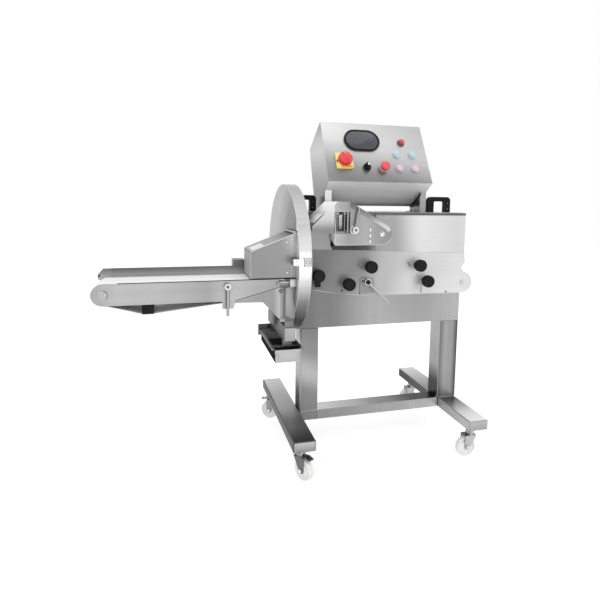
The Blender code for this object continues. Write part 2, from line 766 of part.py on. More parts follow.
def cabinet_lid():
    plate = block((CABINET_LEFT, POST_FRONT, CABINET_TOP + GAP), (RIGHT, CABINET_BACK, LID_TOP))
    inner = SHEET + GAP
    rim = block((CABINET_LEFT + inner, POST_FRONT + inner, CABINET_TOP - LID_RIM),
                (RIGHT - inner, CABINET_BACK - inner, CABINET_TOP + 2 * GAP))
    deep = inner + SHEET
    rim_hollow = block((CABINET_LEFT + deep, POST_FRONT + deep, CABINET_TOP - LID_RIM - OVERRUN),
                       (RIGHT - deep, CABINET_BACK - deep, CABINET_TOP + GAP))
    join(plate, rim)
    cut(plate, rim_hollow)
    publish(plate, "cabinet_lid", STEEL)


def lid_handle(name, x, y):
    half = HANDLE_WIDTH / 2
    low, top = LID_TOP + GAP, LID_TOP + HANDLE_RISE
    corner = HANDLE_CORNER
    outline = [(x - half, low)]
    outline += arc((x - half + corner, top - corner), corner, 180, 90, ARC_STEPS // 2)
    outline += arc((x + half - corner, top - corner), corner, 90, 0, ARC_STEPS // 2)
    outline += [(x + half, low), (x + half - HANDLE_LEG, low)]
    inner = corner / 3
    inner_top = top - HANDLE_BAR
    outline += arc((x + half - HANDLE_LEG - inner, inner_top - inner), inner, 0, 90, 3)
    outline += arc((x - half + HANDLE_LEG + inner, inner_top - inner), inner, 90, 180, 3)
    outline += [(x - half + HANDLE_LEG, low)]
    handle = outline_plate(outline, y - HANDLE_DEPTH / 2, y + HANDLE_DEPTH / 2)
    publish(handle, name, BLACK)


# Console
FACE_RUN = Vector((0, FACE_TOP_Y - FACE_FOOT_Y, HEAD_HEIGHT - FACE_FOOT_Z)).normalized()
FACE_OUT = Vector((0, -FACE_RUN.z, FACE_RUN.y))


def on_face(across, up, out=0.0):
    """A point on the console's tilted face."""
    foot = Vector((CONSOLE_LEFT + across, FACE_FOOT_Y, FACE_FOOT_Z))
    return foot + FACE_RUN * up + FACE_OUT * out


def console_profile(inset):
    """The console's side outline, drawn in by an even wall."""
    outline = [(FACE_FOOT_Y, FACE_FOOT_Z), (FACE_TOP_Y, HEAD_HEIGHT), (CONSOLE_BACK_Y, CONSOLE_BACK_Z),
               (CONSOLE_HEEL_Y, CONSOLE_KEEL_Z), (CONSOLE_KEEL_Y, CONSOLE_KEEL_Z)]
    if not inset:
        return outline
    count = len(outline)
    inner = []
    for i in range(count):
        before = Vector(outline[i]) - Vector(outline[i - 1])
        after = Vector(outline[(i + 1) % count]) - Vector(outline[i])
        normal_a = Vector((before.y, -before.x)).normalized()
        normal_b = Vector((after.y, -after.x)).normalized()
        step = (normal_a + normal_b) / (1 + normal_a.dot(normal_b))
        inner.append(tuple(Vector(outline[i]) + step * inset))
    return inner


def console_shell():
    """A wedge of folded sheet on two side legs, open inside and bored for its controls."""
    body = outline_plate(console_profile(0), CONSOLE_LEFT, CONSOLE_RIGHT, "X")
    hollow = outline_plate(console_profile(SHEET), CONSOLE_LEFT + SHEET, CONSOLE_RIGHT - SHEET, "X")
    foot_z = LID_TOP + GAP
    cheek = [(LEG_FRONT_Y, foot_z), (LEG_FRONT_Y, LEG_BEND_Z), (FACE_FOOT_Y + LEG_SHEET, FACE_FOOT_Z),
             (FACE_TOP_Y, FACE_FOOT_Z + SHEET), (CONSOLE_HEEL_Y, CONSOLE_KEEL_Z + 2 * SHEET),
             (LEG_BACK_Y, foot_z)]
    for outer, toward in ((CONSOLE_LEFT, 1), (CONSOLE_RIGHT, -1)):
        near, far = outer + toward * GAP, outer + toward * LEG_FLANGE
        join(body, outline_plate(cheek, near, near + toward * LEG_SHEET, "X"))
        low_x, high_x = min(near + toward * GAP, far), max(near + toward * GAP, far)
        front_flange = block((low_x, LEG_FRONT_Y - GAP, foot_z + GAP),
                             (high_x, LEG_FRONT_Y + LEG_SHEET, LEG_BEND_Z))
        foot_flange = block((low_x, LEG_FRONT_Y + GAP, foot_z - GAP / 2),
                            (high_x, LEG_BACK_Y - GAP, foot_z + LEG_SHEET))
        join(body, front_flange, foot_flange)
    cut(body, hollow)
    bores = [(SWITCH_ACROSS, SWITCH_UP), (SELECTOR_ACROSS, LOWER_ROW_UP), (STOP_ACROSS, LOWER_ROW_UP),
             (PILOT_ACROSS, PILOT_UP)]
    for across in (FIRST_BUTTON_ACROSS, SECOND_BUTTON_ACROSS):
        bores += [(across, UPPER_ROW_UP), (across, LOWER_ROW_UP)]
    for across, up in bores:
        bore = rod(STEM_RADIUS + GAP, on_face(across, up, -SHEET - OVERRUN),
                   on_face(across, up, OVERRUN))
        cut(body, bore)
    publish(body, "console_shell", STEEL)


def face_plate(outline, across, up, start, thickness):
    """A flat outline laid on the tilted face."""
    plate = outline_plate(outline, 0, -thickness)
    lean = math.atan2(FACE_RUN.y, FACE_RUN.z)
    matrix = Matrix.Translation(on_face(across, up, start)) @ Matrix.Rotation(-lean, 4, "X")
    plate.data.transform(matrix)
    return plate


def long_round(side, radius):
    """The outline of a slot with round ends, whose arcs are centred at each side."""
    steps = ARC_STEPS * 2
    return arc((side, 0), radius, -90, 90, steps) + arc((-side, 0), radius, 90, 270, steps)


def display():
    half_high = DISPLAY_HEIGHT / 2
    outline = long_round(DISPLAY_WIDTH / 2 - half_high, half_high)
    inner = long_round(DISPLAY_WIDTH / 2 - half_high, half_high - DISPLAY_RIM)
    bezel = face_plate(outline, DISPLAY_ACROSS, DISPLAY_UP, GAP, DISPLAY_THICKNESS)
    pane = face_plate(inner, DISPLAY_ACROSS, DISPLAY_UP, DISPLAY_THICKNESS * PANE_DEPTH_SHARE,
                      DISPLAY_THICKNESS)
    cut(bezel, pane)
    publish(bezel, "display", SCREEN)


def main_switch():
    half = SWITCH_PLATE / 2
    corner = half / 8
    outline = arc((half - corner, -half + corner), corner, -90, 0, 3)
    outline += arc((half - corner, half - corner), corner, 0, 90, 3)
    outline += arc((-half + corner, half - corner), corner, 90, 180, 3)
    outline += arc((-half + corner, -half + corner), corner, 180, 270, 3)
    plate = face_plate(outline, SWITCH_ACROSS, SWITCH_UP, GAP, SWITCH_PLATE_THICKNESS)
    bore = rod(SWITCH_STEM_RADIUS + GAP, on_face(SWITCH_ACROSS, SWITCH_UP, -OVERRUN),
               on_face(SWITCH_ACROSS, SWITCH_UP, SWITCH_PLATE_THICKNESS + OVERRUN))
    cut(plate, bore)
    publish(plate, "main_switch_plate", YELLOW)
    base = SWITCH_PLATE_THICKNESS + 2 * GAP
    top = base + SWITCH_KNOB_HEIGHT
    body_end, taper_start = [base + SWITCH_KNOB_HEIGHT * share for share in SWITCH_BODY_SHARES]
    taper, crown = [SWITCH_KNOB_RADIUS * share for share in SWITCH_TAPER_SHARES]
    knob = turned([(-STEM_LENGTH, 0), (-STEM_LENGTH, SWITCH_STEM_RADIUS), (base, SWITCH_STEM_RADIUS),
                   (base, SWITCH_KNOB_RADIUS), (body_end, SWITCH_KNOB_RADIUS), (taper_start, taper),
                   (top, crown), (top, 0)], on_face(SWITCH_ACROSS, SWITCH_UP), FACE_OUT)
    for side in (-1, 1):
        waist_across = SWITCH_ACROSS + side * SWITCH_KNOB_RADIUS * SWITCH_WAIST_SHARE
        cut(knob, rod(SWITCH_KNOB_RADIUS, on_face(waist_across, SWITCH_UP, taper_start),
                      on_face(waist_across, SWITCH_UP, top + OVERRUN), MID_FACETS))
    publish(knob, "main_switch_knob", RED, on_face(SWITCH_ACROSS, SWITCH_UP))


def selector():
    base = 2 * GAP
    collar = base + BEZEL_HEIGHT
    knob = turned([(-STEM_LENGTH, 0), (-STEM_LENGTH, STEM_RADIUS), (base, STEM_RADIUS),
                   (base, BEZEL_RADIUS), (collar, BEZEL_RADIUS * COLLAR_SHARE), (collar, 0)],
                  on_face(SELECTOR_ACROSS, LOWER_ROW_UP), FACE_OUT)
    grip_half = SELECTOR_RADIUS / 3
    outline = [(-grip_half, -SELECTOR_RADIUS), (grip_half, -SELECTOR_RADIUS),
               (grip_half, SELECTOR_RADIUS), (-grip_half, SELECTOR_RADIUS)]
    grip = face_plate(outline, SELECTOR_ACROSS, LOWER_ROW_UP, collar - GAP, SELECTOR_HEIGHT - BEZEL_HEIGHT)
    join(knob, grip)
    publish(knob, "selector_knob", BLACK, on_face(SELECTOR_ACROSS, LOWER_ROW_UP))


def emergency_stop():
    neck = STOP_NECK_HEIGHT + BUTTON_TRAVEL
    profile = [(-STEM_LENGTH, 0), (-STEM_LENGTH, STEM_RADIUS), (BUTTON_TRAVEL + GAP, STEM_RADIUS),
               (BUTTON_TRAVEL + GAP, STOP_NECK_RADIUS), (neck, STOP_NECK_RADIUS),
               (neck, STOP_HEAD_RADIUS), (neck + STOP_HEAD_HEIGHT / 2, STOP_HEAD_RADIUS),
               (neck + STOP_HEAD_HEIGHT * DOME_SHARE, STOP_HEAD_RADIUS * DOME_EDGE_SHARE),
               (neck + STOP_HEAD_HEIGHT, 0)]
    head = turned(profile, on_face(STOP_ACROSS, LOWER_ROW_UP), FACE_OUT)
    publish(head, "emergency_stop", RED, on_face(STOP_ACROSS, LOWER_ROW_UP))


def pilot_lamp():
    lamp = turned([(-STEM_LENGTH, 0), (-STEM_LENGTH, STEM_RADIUS), (GAP, STEM_RADIUS), (GAP, BEZEL_RADIUS),
                   (BEZEL_HEIGHT, BEZEL_RADIUS), (BEZEL_HEIGHT, PILOT_RADIUS),
                   (PILOT_HEIGHT * LENS_SHARE, PILOT_RADIUS), (PILOT_HEIGHT, PILOT_RADIUS * LENS_SHARE),
                   (PILOT_HEIGHT, 0)],
                  on_face(PILOT_ACROSS, PILOT_UP), FACE_OUT)
    publish(lamp, "pilot_lamp", RED)


def push_button(name, across, up, material):
    rest = BUTTON_TRAVEL + 2 * GAP
    button = turned([(-STEM_LENGTH, 0), (-STEM_LENGTH, STEM_RADIUS), (rest, STEM_RADIUS),
                     (rest, BUTTON_RADIUS), (BUTTON_HEIGHT * DOME_SHARE, BUTTON_RADIUS),
                     (BUTTON_HEIGHT, BUTTON_RADIUS * DOME_SHARE), (BUTTON_HEIGHT, 0)],
                    on_face(across, up), FACE_OUT)
    publish(button, name, material, on_face(across, up))


# Blade drum
def drum_housing():
    hub = (DRUM_Y, DRUM_Z)
    shell = rod(DRUM_RADIUS, (DRUM_LEFT, *hub), (DRUM_RIGHT, *hub), BIG_FACETS)
    hollow = rod(DRUM_RADIUS - SHEET, (DRUM_LEFT + SHEET, *hub), (DRUM_RIGHT - SHEET, *hub), BIG_FACETS)
    out_window = block((DRUM_LEFT - OVERRUN, CONVEYOR_FRONT + 2 * SHEET, HOOD_BOTTOM),
                       (DRUM_LEFT + SHEET + OVERRUN, CONVEYOR_BACK - SHEET, HOOD_HIGH_Z - 4 * SHEET))
    in_window = block((DRUM_RIGHT - SHEET - OVERRUN, CHANNEL_FRONT + SHEET, NOSE_Z + NOSE_RADIUS),
                      (DRUM_RIGHT + OVERRUN, REAR_INNER, HOOD_HIGH_Z - SHEET))
    shaft_hole = rod(SHAFT_HOLE_RADIUS, (DRUM_RIGHT - SHEET - OVERRUN, *hub),
                     (DRUM_RIGHT + OVERRUN, *hub), MID_FACETS)
    cut(shell, hollow, out_window, in_window, shaft_hole)
    publish(shell, "drum_housing", STEEL)


def grind(plate):
    """Draw the outfeed face in from the rim, which leaves a bevel up to the cutting edge."""
    hub = Vector((BLADE_X, DRUM_Y, DRUM_Z))
    for vert in plate.data.vertices:
        if vert.co.x < BLADE_X + BLADE_THICKNESS / 2:
            spoke = vert.co - hub
            spoke.x = 0
            vert.co -= spoke.normalized() * BLADE_BEVEL


def blade():
    """A sickle blade: its cutting edge is a spiral that grows from the root to the tip."""
    steps = BIG_FACETS // 2
    edge = []
    for i in range(steps + 1):
        share = i / steps
        angle = BLADE_START + BLADE_SWEEP * share
        radius = BLADE_ROOT_RADIUS + (BLADE_TIP_RADIUS - BLADE_ROOT_RADIUS) * share ** BLADE_GROWTH_SHARE
        edge.append((DRUM_Y + radius * math.cos(angle), DRUM_Z + radius * math.sin(angle)))
    plate = outline_plate(edge, BLADE_X, BLADE_X + BLADE_THICKNESS, "X")
    grind(plate)
    hole = rod(SHAFT_RADIUS + GAP, (BLADE_X - OVERRUN, DRUM_Y, DRUM_Z),
               (BLADE_X + BLADE_THICKNESS + OVERRUN, DRUM_Y, DRUM_Z), MID_FACETS)
    cut(plate, hole)
    for i in range(HUB_BOLTS):
        angle = 2 * math.pi * i / HUB_BOLTS + BLADE_START
        y = DRUM_Y + HUB_BOLT_CIRCLE * math.cos(angle)
        z = DRUM_Z + HUB_BOLT_CIRCLE * math.sin(angle)
        cut(plate, rod(HUB_BOLT_RADIUS + GAP, (BLADE_X - OVERRUN, y, z),
                       (BLADE_X + BLADE_THICKNESS + OVERRUN, y, z), BOLT_FACETS))
    publish(plate, "blade", BRIGHT, (BLADE_X, DRUM_Y, DRUM_Z))


def blade_shaft():
    front = BLADE_X + BLADE_THICKNESS + GAP
    profile = [(BLADE_X - HUB_THICKNESS, 0), (BLADE_X - HUB_THICKNESS, SHAFT_RADIUS * SHAFT_NOSE_SHARE),
               (BLADE_X - HUB_THICKNESS / 2, SHAFT_RADIUS), (front, SHAFT_RADIUS), (front, HUB_RADIUS),
               (front + HUB_THICKNESS, HUB_RADIUS), (front + HUB_THICKNESS, SHAFT_RADIUS),
               (SHAFT_END, SHAFT_RADIUS), (SHAFT_END, 0)]
    shaft = turned(profile, (0, DRUM_Y, DRUM_Z), (1, 0, 0))
    for i in range(HUB_BOLTS):
        angle = 2 * math.pi * i / HUB_BOLTS + BLADE_START
        y = DRUM_Y + HUB_BOLT_CIRCLE * math.cos(angle)
        z = DRUM_Z + HUB_BOLT_CIRCLE * math.sin(angle)
        join(shaft, rod(HUB_BOLT_RADIUS, (BLADE_X - HUB_THICKNESS / 2, y, z),
                        (front + HUB_THICKNESS / 2, y, z), BOLT_FACETS))
    publish(shaft, "blade_shaft", BRIGHT, (0, DRUM_Y, DRUM_Z))


def blade_motor():
    """A flange motor bolted inside the cabinet's left wall."""
    start = CABINET_LEFT + SHEET + GAP
    nose = start + MOTOR_FLANGE + MOTOR_NOSE
    end = nose + MOTOR_LENGTH
    bore = SHAFT_RADIUS + GAP
    profile = [(SHAFT_END + GAP, 0), (SHAFT_END + GAP, bore), (start, bore), (start, MOTOR_FLANGE_RADIUS),
               (start + MOTOR_FLANGE, MOTOR_FLANGE_RADIUS),
               (start + MOTOR_FLANGE, MOTOR_FLANGE_RADIUS * MOTOR_WAIST_SHARE), (nose, MOTOR_RADIUS),
               (end - MOTOR_NOSE, MOTOR_RADIUS), (end - MOTOR_NOSE, MOTOR_COVER_RADIUS),
               (end, MOTOR_COVER_RADIUS * MOTOR_COVER_SHARE), (end, 0)]
    motor = turned(profile, (0, DRUM_Y, DRUM_Z), (1, 0, 0), SMALL_FACETS)
    publish(motor, "blade_motor", STEEL)


# Discharge hood
HOOD_RIGHT = DRUM_LEFT - GAP
HOOD_HINGE_X = HOOD_RIGHT - HOOD_HINGE_SETBACK
HOOD_HINGE_Z = HOOD_HIGH_Z + HOOD_HINGE_RADIUS


def discharge_hood():
    """Front, rear and sloping top of folded sheet, open below and at both ends."""
    outline = [(HOOD_LEFT, HOOD_BOTTOM), (HOOD_RIGHT, HOOD_BOTTOM), (HOOD_RIGHT, HOOD_HIGH_Z),
               (HOOD_LEFT, HOOD_LOW_Z)]
    body = outline_plate(outline, CONVEYOR_FRONT, CONVEYOR_BACK)
    slope = (HOOD_HIGH_Z - HOOD_LOW_Z) / (HOOD_RIGHT - HOOD_LEFT)
    over = OVERRUN * slope
    inner = [(HOOD_LEFT - OVERRUN, HOOD_BOTTOM - OVERRUN), (HOOD_RIGHT + OVERRUN, HOOD_BOTTOM - OVERRUN),
             (HOOD_RIGHT + OVERRUN, HOOD_HIGH_Z + over - HOOD_WALL),
             (HOOD_LEFT - OVERRUN, HOOD_LOW_Z - over - HOOD_WALL)]
    cut(body, outline_plate(inner, CONVEYOR_FRONT + HOOD_WALL, CONVEYOR_BACK - HOOD_WALL))
    rear_relief = block((HOOD_LEFT - OVERRUN, CONVEYOR_BACK - 2 * HOOD_WALL, HOOD_BOTTOM - OVERRUN),
                        (HOOD_RIGHT + OVERRUN, CONVEYOR_BACK + OVERRUN, GUARD_TOP + GAP))
    cut(body, rear_relief)
    lug = block((STRAP_LEFT + STRAP_THICKNESS + GAP, STRAP_BACK + STRAP_THICKNESS + GAP, HOOD_LUG_BOTTOM),
                (HOOD_RIGHT, CONVEYOR_FRONT + HOOD_WALL, HOOD_LUG_TOP))
    barrel = rod(HOOD_HINGE_RADIUS, (HOOD_HINGE_X, CONVEYOR_FRONT, HOOD_HINGE_Z - HOOD_WALL),
                 (HOOD_HINGE_X, CONVEYOR_BACK, HOOD_HINGE_Z - HOOD_WALL))
    join(body, lug, barrel)
    publish(body, "discharge_hood", STEEL, (HOOD_HINGE_X, CONVEYOR_FRONT, HOOD_HINGE_Z - HOOD_WALL))


STRAP_MID_Z = (STRAP_BOTTOM + STRAP_TOP) / 2
STRAP_BACK = DRUM_Y - DRUM_RADIUS - GAP
STRAP_FRONT = STRAP_BACK - STRAP_THICKNESS
LATCH_X = DRUM_RIGHT - CATCH_SETBACK
LATCH_Y = STRAP_BACK - LATCH_PIN_RADIUS


def hood_latch():
    """A toggle catch: its strap lies over the drum's band and holds the hood's lug."""
    strap = block((STRAP_LEFT, STRAP_FRONT, STRAP_BOTTOM), (LATCH_X, STRAP_BACK, STRAP_TOP))
    hook = block((STRAP_LEFT, STRAP_FRONT, STRAP_BOTTOM),
                 (STRAP_LEFT + STRAP_THICKNESS, STRAP_BACK + STRAP_THICKNESS, STRAP_TOP))
    low, high = STRAP_BOTTOM - STRAP_THICKNESS, STRAP_TOP + STRAP_THICKNESS
    catch = block((LATCH_X - CATCH_LENGTH, STRAP_FRONT - CATCH_THICKNESS / 2, low),
                  (LATCH_X - CATCH_SETBACK, STRAP_BACK - STRAP_THICKNESS / 2, high))
    barrel = rod(LATCH_PIN_RADIUS, (LATCH_X, LATCH_Y, low), (LATCH_X, LATCH_Y, high))
    join(strap, hook, catch, barrel)
    publish(strap, "hood_latch", BRIGHT, (LATCH_X, LATCH_Y, STRAP_MID_Z))


# Conveyor bracket with the tray's hanger
RAIL_LEFT = TRAY_LEFT - TRAY_FLANGE - GAP
RAIL_RIGHT = TRAY_RIGHT + TRAY_FLANGE + GAP
RAIL_TOP = TRAY_TOP + GAP + RAIL_WALL


def gusset(y, foot_z):
    """One side plate of the bracket, its top edge along the conveyor plate's taper."""
    tube_top = HANGER_TUBE_BOTTOM + HANGER_TUBE_HEIGHT
    tube_right = DRUM_LEFT - 2 * TUBE_EDGE
    outline = [(PLATE_TAPER_X, PLATE_TAPER_Z - GUSSET_SLIT), (PLATE_TAPER_X, PLATE_TAPER_Z - 2 * TUBE_EDGE),
               (GUSSET_CORNER_X, PLATE_TAPER_Z - 3 * TUBE_EDGE), (GUSSET_FOOT_X, GUSSET_FOOT_Z),
               (GUSSET_FOOT_X + TUBE_EDGE, foot_z), (HANGER_TUBE_LEFT + TUBE_EDGE, foot_z),
               (HANGER_TUBE_LEFT + TUBE_EDGE, tube_top - TUBE_EDGE), (tube_right, tube_top - TUBE_EDGE),
               (tube_right, GUSSET_FOOT_Z - TUBE_EDGE), (GUSSET_RIGHT, GUSSET_FOOT_Z + BEAM_HEIGHT / 3),
               (GUSSET_RIGHT, PLATE_END_Z - 2 * TUBE_EDGE), (PLATE_END_X, PLATE_END_Z - GUSSET_SLIT)]
    return outline_plate(outline, y, y + GUSSET_THICKNESS)


def conveyor_bracket():
    tube_right = DRUM_LEFT - GAP
    tube_top = HANGER_TUBE_BOTTOM + HANGER_TUBE_HEIGHT
    bracket = block((HANGER_TUBE_LEFT, HANGER_TUBE_FRONT, HANGER_TUBE_BOTTOM),
                    (tube_right, HANGER_TUBE_BACK, tube_top), bevel=TUBE_EDGE)
    join(bracket, gusset(CONVEYOR_FRONT, GUSSET_FOOT_Z - GAP),
         gusset(CONVEYOR_BACK - GUSSET_THICKNESS, REAR_GUSSET_FOOT_Z))
    rail_back = TRAY_BACK + GAP + RAIL_WALL
    rail_low = TRAY_TOP - TRAY_WALL - GAP - RAIL_WALL
    for web_x, lip_x in ((RAIL_LEFT, TRAY_LEFT - GAP), (RAIL_RIGHT, TRAY_RIGHT + GAP)):
        toward = 1 if web_x > lip_x else -1
        outer_x = web_x + toward * RAIL_WALL
        low_x, high_x = min(outer_x, lip_x), max(outer_x, lip_x)
        rail = block((low_x, RAIL_FRONT, rail_low), (high_x, rail_back, RAIL_TOP))
        groove = block((min(web_x, lip_x - toward * OVERRUN), RAIL_FRONT - OVERRUN, rail_low + RAIL_WALL),
                       (max(web_x, lip_x - toward * OVERRUN), rail_back + OVERRUN, RAIL_TOP - RAIL_WALL))
        cut(rail, groove)
        join(bracket, rail)
    for y in (RAIL_FRONT + STRAP_BAR, -STRAP_BAR):
        bar = block((RAIL_LEFT - RAIL_WALL, y, RAIL_TOP - RAIL_WALL / 2),
                    (RAIL_RIGHT + RAIL_WALL, y + STRAP_BAR, RAIL_TOP + RAIL_WALL))
        riser = block((HANGER_TUBE_LEFT + TUBE_EDGE, y, RAIL_TOP),
                      (tube_right - TUBE_EDGE, y + STRAP_BAR, HANGER_TUBE_BOTTOM + TUBE_EDGE))
        join(bracket, bar, riser)
    stop = block((HANGER_STOP_LEFT, TRAY_BACK + GAP, rail_low - STRAP_BAR),
                 (RAIL_RIGHT + RAIL_WALL, rail_back, HANGER_STOP_TOP))
    shaft_hole = rod(ROLLER_SHAFT_RADIUS + GAP, (DRIVE_X, CONVEYOR_FRONT - OVERRUN, DRIVE_Z),
                     (DRIVE_X, CONVEYOR_BACK + OVERRUN, DRIVE_Z), MID_FACETS)
    join(bracket, stop)
    cut(bracket, shaft_hole)
    publish(bracket, "conveyor_bracket", STEEL)


def scrap_tray():
    tray = block((TRAY_LEFT, TRAY_FRONT, TRAY_BOTTOM), (TRAY_RIGHT, TRAY_BACK, TRAY_TOP))
    flange = block((TRAY_LEFT - TRAY_FLANGE, RAIL_FRONT, TRAY_TOP - TRAY_WALL),
                   (TRAY_RIGHT + TRAY_FLANGE, TRAY_BACK, TRAY_TOP))
    lip = block((TRAY_LEFT - TRAY_WALL, TRAY_FRONT - TRAY_WALL, TRAY_TOP - TRAY_LIP),
                (TRAY_RIGHT + TRAY_WALL, TRAY_FRONT + TRAY_WALL, TRAY_TOP + TRAY_WALL / 2))
    hollow = block((TRAY_LEFT + TRAY_WALL, TRAY_FRONT + TRAY_WALL, TRAY_BOTTOM + TRAY_WALL),
                   (TRAY_RIGHT - TRAY_WALL, TRAY_BACK - TRAY_WALL, TRAY_TOP + OVERRUN))
    join(tray, flange, lip)
    cut(tray, hollow)
    publish(tray, "scrap_tray", STEEL, (0, TRAY_FRONT, TRAY_TOP))


# Outfeed conveyor
def side_plate_outline(top):
    outline = arc((TIP_X, TIP_Z), TIP_RADIUS, 270, 90, ARC_STEPS * 2)
    outline[0] = (TIP_X, PLATE_BOTTOM)
    outline[-1] = (TIP_X, top)
    return outline + [(PLATE_END_X, top), (PLATE_END_X, PLATE_END_Z), (PLATE_TAPER_X, PLATE_TAPER_Z),
                      (PLATE_TAPER_X - TUBE_EDGE, PLATE_BOTTOM)]


def pivot_block(y, side):
    """The rod and block that seat a side plate's end against the drum."""
    face = y + side * PIVOT_RADIUS * PIVOT_SEAT_SHARE
    pin = rod(PIVOT_RADIUS, (PLATE_END_X - OVERRUN, face, PIVOT_Z),
              (PIVOT_BLOCK_LEFT + TUBE_EDGE, face, PIVOT_Z))
    low_y, high_y = sorted((y + side * PIVOT_BLOCK_DEPTH, y - side * TUBE_EDGE / 2))
    seat = block((PIVOT_BLOCK_LEFT, low_y, PIVOT_Z - PIVOT_BLOCK / 2),
                 (DRUM_LEFT - GAP, high_y, PIVOT_Z + PIVOT_BLOCK / 2))
    return pin, seat


def conveyor_front_plate():
    outline = side_plate_outline(BELT_TOP)[:-1]
    outline += [(TAB_RIGHT - TUBE_EDGE, TAB_BOTTOM), (TAB_LEFT, TAB_BOTTOM), (TAB_LEFT, PLATE_BOTTOM)]
    plate = outline_plate(outline, CONVEYOR_FRONT, CONVEYOR_FRONT + SHEET)
    join(plate, *pivot_block(CONVEYOR_FRONT, -1))
    tip_hole = rod(ROLLER_SHAFT_RADIUS + GAP, (TIP_X, CONVEYOR_FRONT - OVERRUN, TIP_Z),
                   (TIP_X, CONVEYOR_FRONT + SHEET + OVERRUN, TIP_Z), MID_FACETS)
    hook = arc((TIP_X, TIP_Z), TIP_SLOT_RADIUS + TIP_SLOT_WIDTH / 2, TIP_SLOT_START, TIP_SLOT_END)
    hook += arc((TIP_X, TIP_Z), TIP_SLOT_RADIUS - TIP_SLOT_WIDTH / 2, TIP_SLOT_END, TIP_SLOT_START)
    tip_slot = outline_plate(hook, CONVEYOR_FRONT - OVERRUN, CONVEYOR_FRONT + SHEET + OVERRUN)
    clamp_hole = rod(CLAMP_BAR_RADIUS + GAP, (CLAMP_X, CONVEYOR_FRONT - OVERRUN, CLAMP_Z),
                     (CLAMP_X, CONVEYOR_FRONT + SHEET + OVERRUN, CLAMP_Z), MID_FACETS)
    cut(plate, tip_hole, tip_slot, clamp_hole)
    publish(plate, "conveyor_front_plate", STEEL)


def conveyor_rear_plate():
    outline = [(TIP_X, PLATE_BOTTOM)] + arc((TIP_X, TIP_Z), TIP_RADIUS, 262, 158, ARC_STEPS)
    outline += [(GUARD_LEFT, GUARD_TOP - GUARD_CHAMFER), (GUARD_LEFT + GUARD_CHAMFER, GUARD_TOP),
                (PLATE_END_X, GUARD_TOP), (PLATE_END_X, PLATE_END_Z), (PLATE_TAPER_X, PLATE_TAPER_Z),
                (PLATE_TAPER_X - TUBE_EDGE, PLATE_BOTTOM)]
    plate = outline_plate(outline, CONVEYOR_BACK - SHEET, CONVEYOR_BACK)
    box_body = block((DRIVE_BOX_LEFT, CONVEYOR_BACK - SHEET / 2, DRIVE_BOX_BOTTOM),
                     (HOOD_LEFT, CONVEYOR_BACK + DRIVE_BOX_DEPTH, DRIVE_BOX_TOP), bevel=TUBE_EDGE / 2)
    join(plate, box_body, *pivot_block(CONVEYOR_BACK, 1))
    tip_hole = rod(ROLLER_SHAFT_RADIUS + GAP, (TIP_X, CONVEYOR_BACK - SHEET - OVERRUN, TIP_Z),
                   (TIP_X, CONVEYOR_BACK + OVERRUN, TIP_Z), MID_FACETS)
    cut(plate, tip_hole)
    publish(plate, "conveyor_rear_plate", STEEL)


def conveyor_bed():
    """The slider bed under the carrying run, with the bar that holds the return run down."""
    front, back = CONVEYOR_FRONT + SHEET + GAP, CONVEYOR_BACK - SHEET - GAP
    bed_top = BELT_TOP - BELT - GAP
    bed = block((TIP_X + BED_LEFT_SETBACK, front, bed_top - BED_THICKNESS),
                (DRIVE_X - DRIVE_RADIUS - BED_RIGHT_SETBACK / 2, back, bed_top))
    outline = [(TENSION_LEFT, PLATE_BOTTOM), (TENSION_LEFT + TENSION_TAPER, TENSION_BOTTOM),
               (TENSION_RIGHT - TENSION_TAPER, TENSION_BOTTOM), (TENSION_RIGHT, PLATE_BOTTOM)]
    bar = outline_plate(outline, front, back)
    middle = (TENSION_LEFT + TENSION_RIGHT) / 2
    web = block((middle - BED_THICKNESS / 2, front + BED_THICKNESS, PLATE_BOTTOM - BED_THICKNESS),
                (middle + BED_THICKNESS / 2, back - BED_THICKNESS, bed_top - BED_THICKNESS / 2))
    join(bed, bar, web)
    publish(bed, "conveyor_bed", BLACK)


def offset_loop(path, distance):
    """A closed path drawn outwards (or inwards) by an even distance."""
    count = len(path)
    moved = []
    for i in range(count):
        before = (Vector(path[i]) - Vector(path[i - 1])).normalized()
        after = (Vector(path[(i + 1) % count]) - Vector(path[i])).normalized()
        normal_a = Vector((before.y, -before.x))
        normal_b = Vector((after.y, -after.x))
        step = (normal_a + normal_b) / (1 + normal_a.dot(normal_b))
        moved.append(tuple(Vector(path[i]) + step * distance))
    return moved


def belt_loop(path, front, back):
    """A belt of even thickness; the path is its inner face, counter-clockwise."""
    belt = outline_plate(offset_loop(path, BELT), front, back)
    cut(belt, outline_plate(path, front - OVERRUN, back + OVERRUN))
    return belt


def outfeed_belt():
    tip_inner = TIP_RADIUS - BELT
    run = TENSION_BOTTOM - GAP
    path = arc((TIP_X, TIP_Z), tip_inner, 90, 262, ARC_STEPS * 2)
    path += [(TENSION_LEFT + TENSION_TAPER / 2, run), (TENSION_RIGHT - TENSION_TAPER / 2, run),
             (TENSION_RIGHT + (DRIVE_X - TENSION_RIGHT) * SAG_SHARE, SAG_END_Z)]
    path += arc((DRIVE_X, DRIVE_Z), DRIVE_RADIUS + ROLLER_CLEAR, -94, 90, ARC_STEPS * 2)
    belt = belt_loop(path, CONVEYOR_FRONT + SHEET + BELT_SIDE_GAP, CONVEYOR_BACK - SHEET - BELT_SIDE_GAP)
    publish(belt, "outfeed_belt", WHITE_BELT)


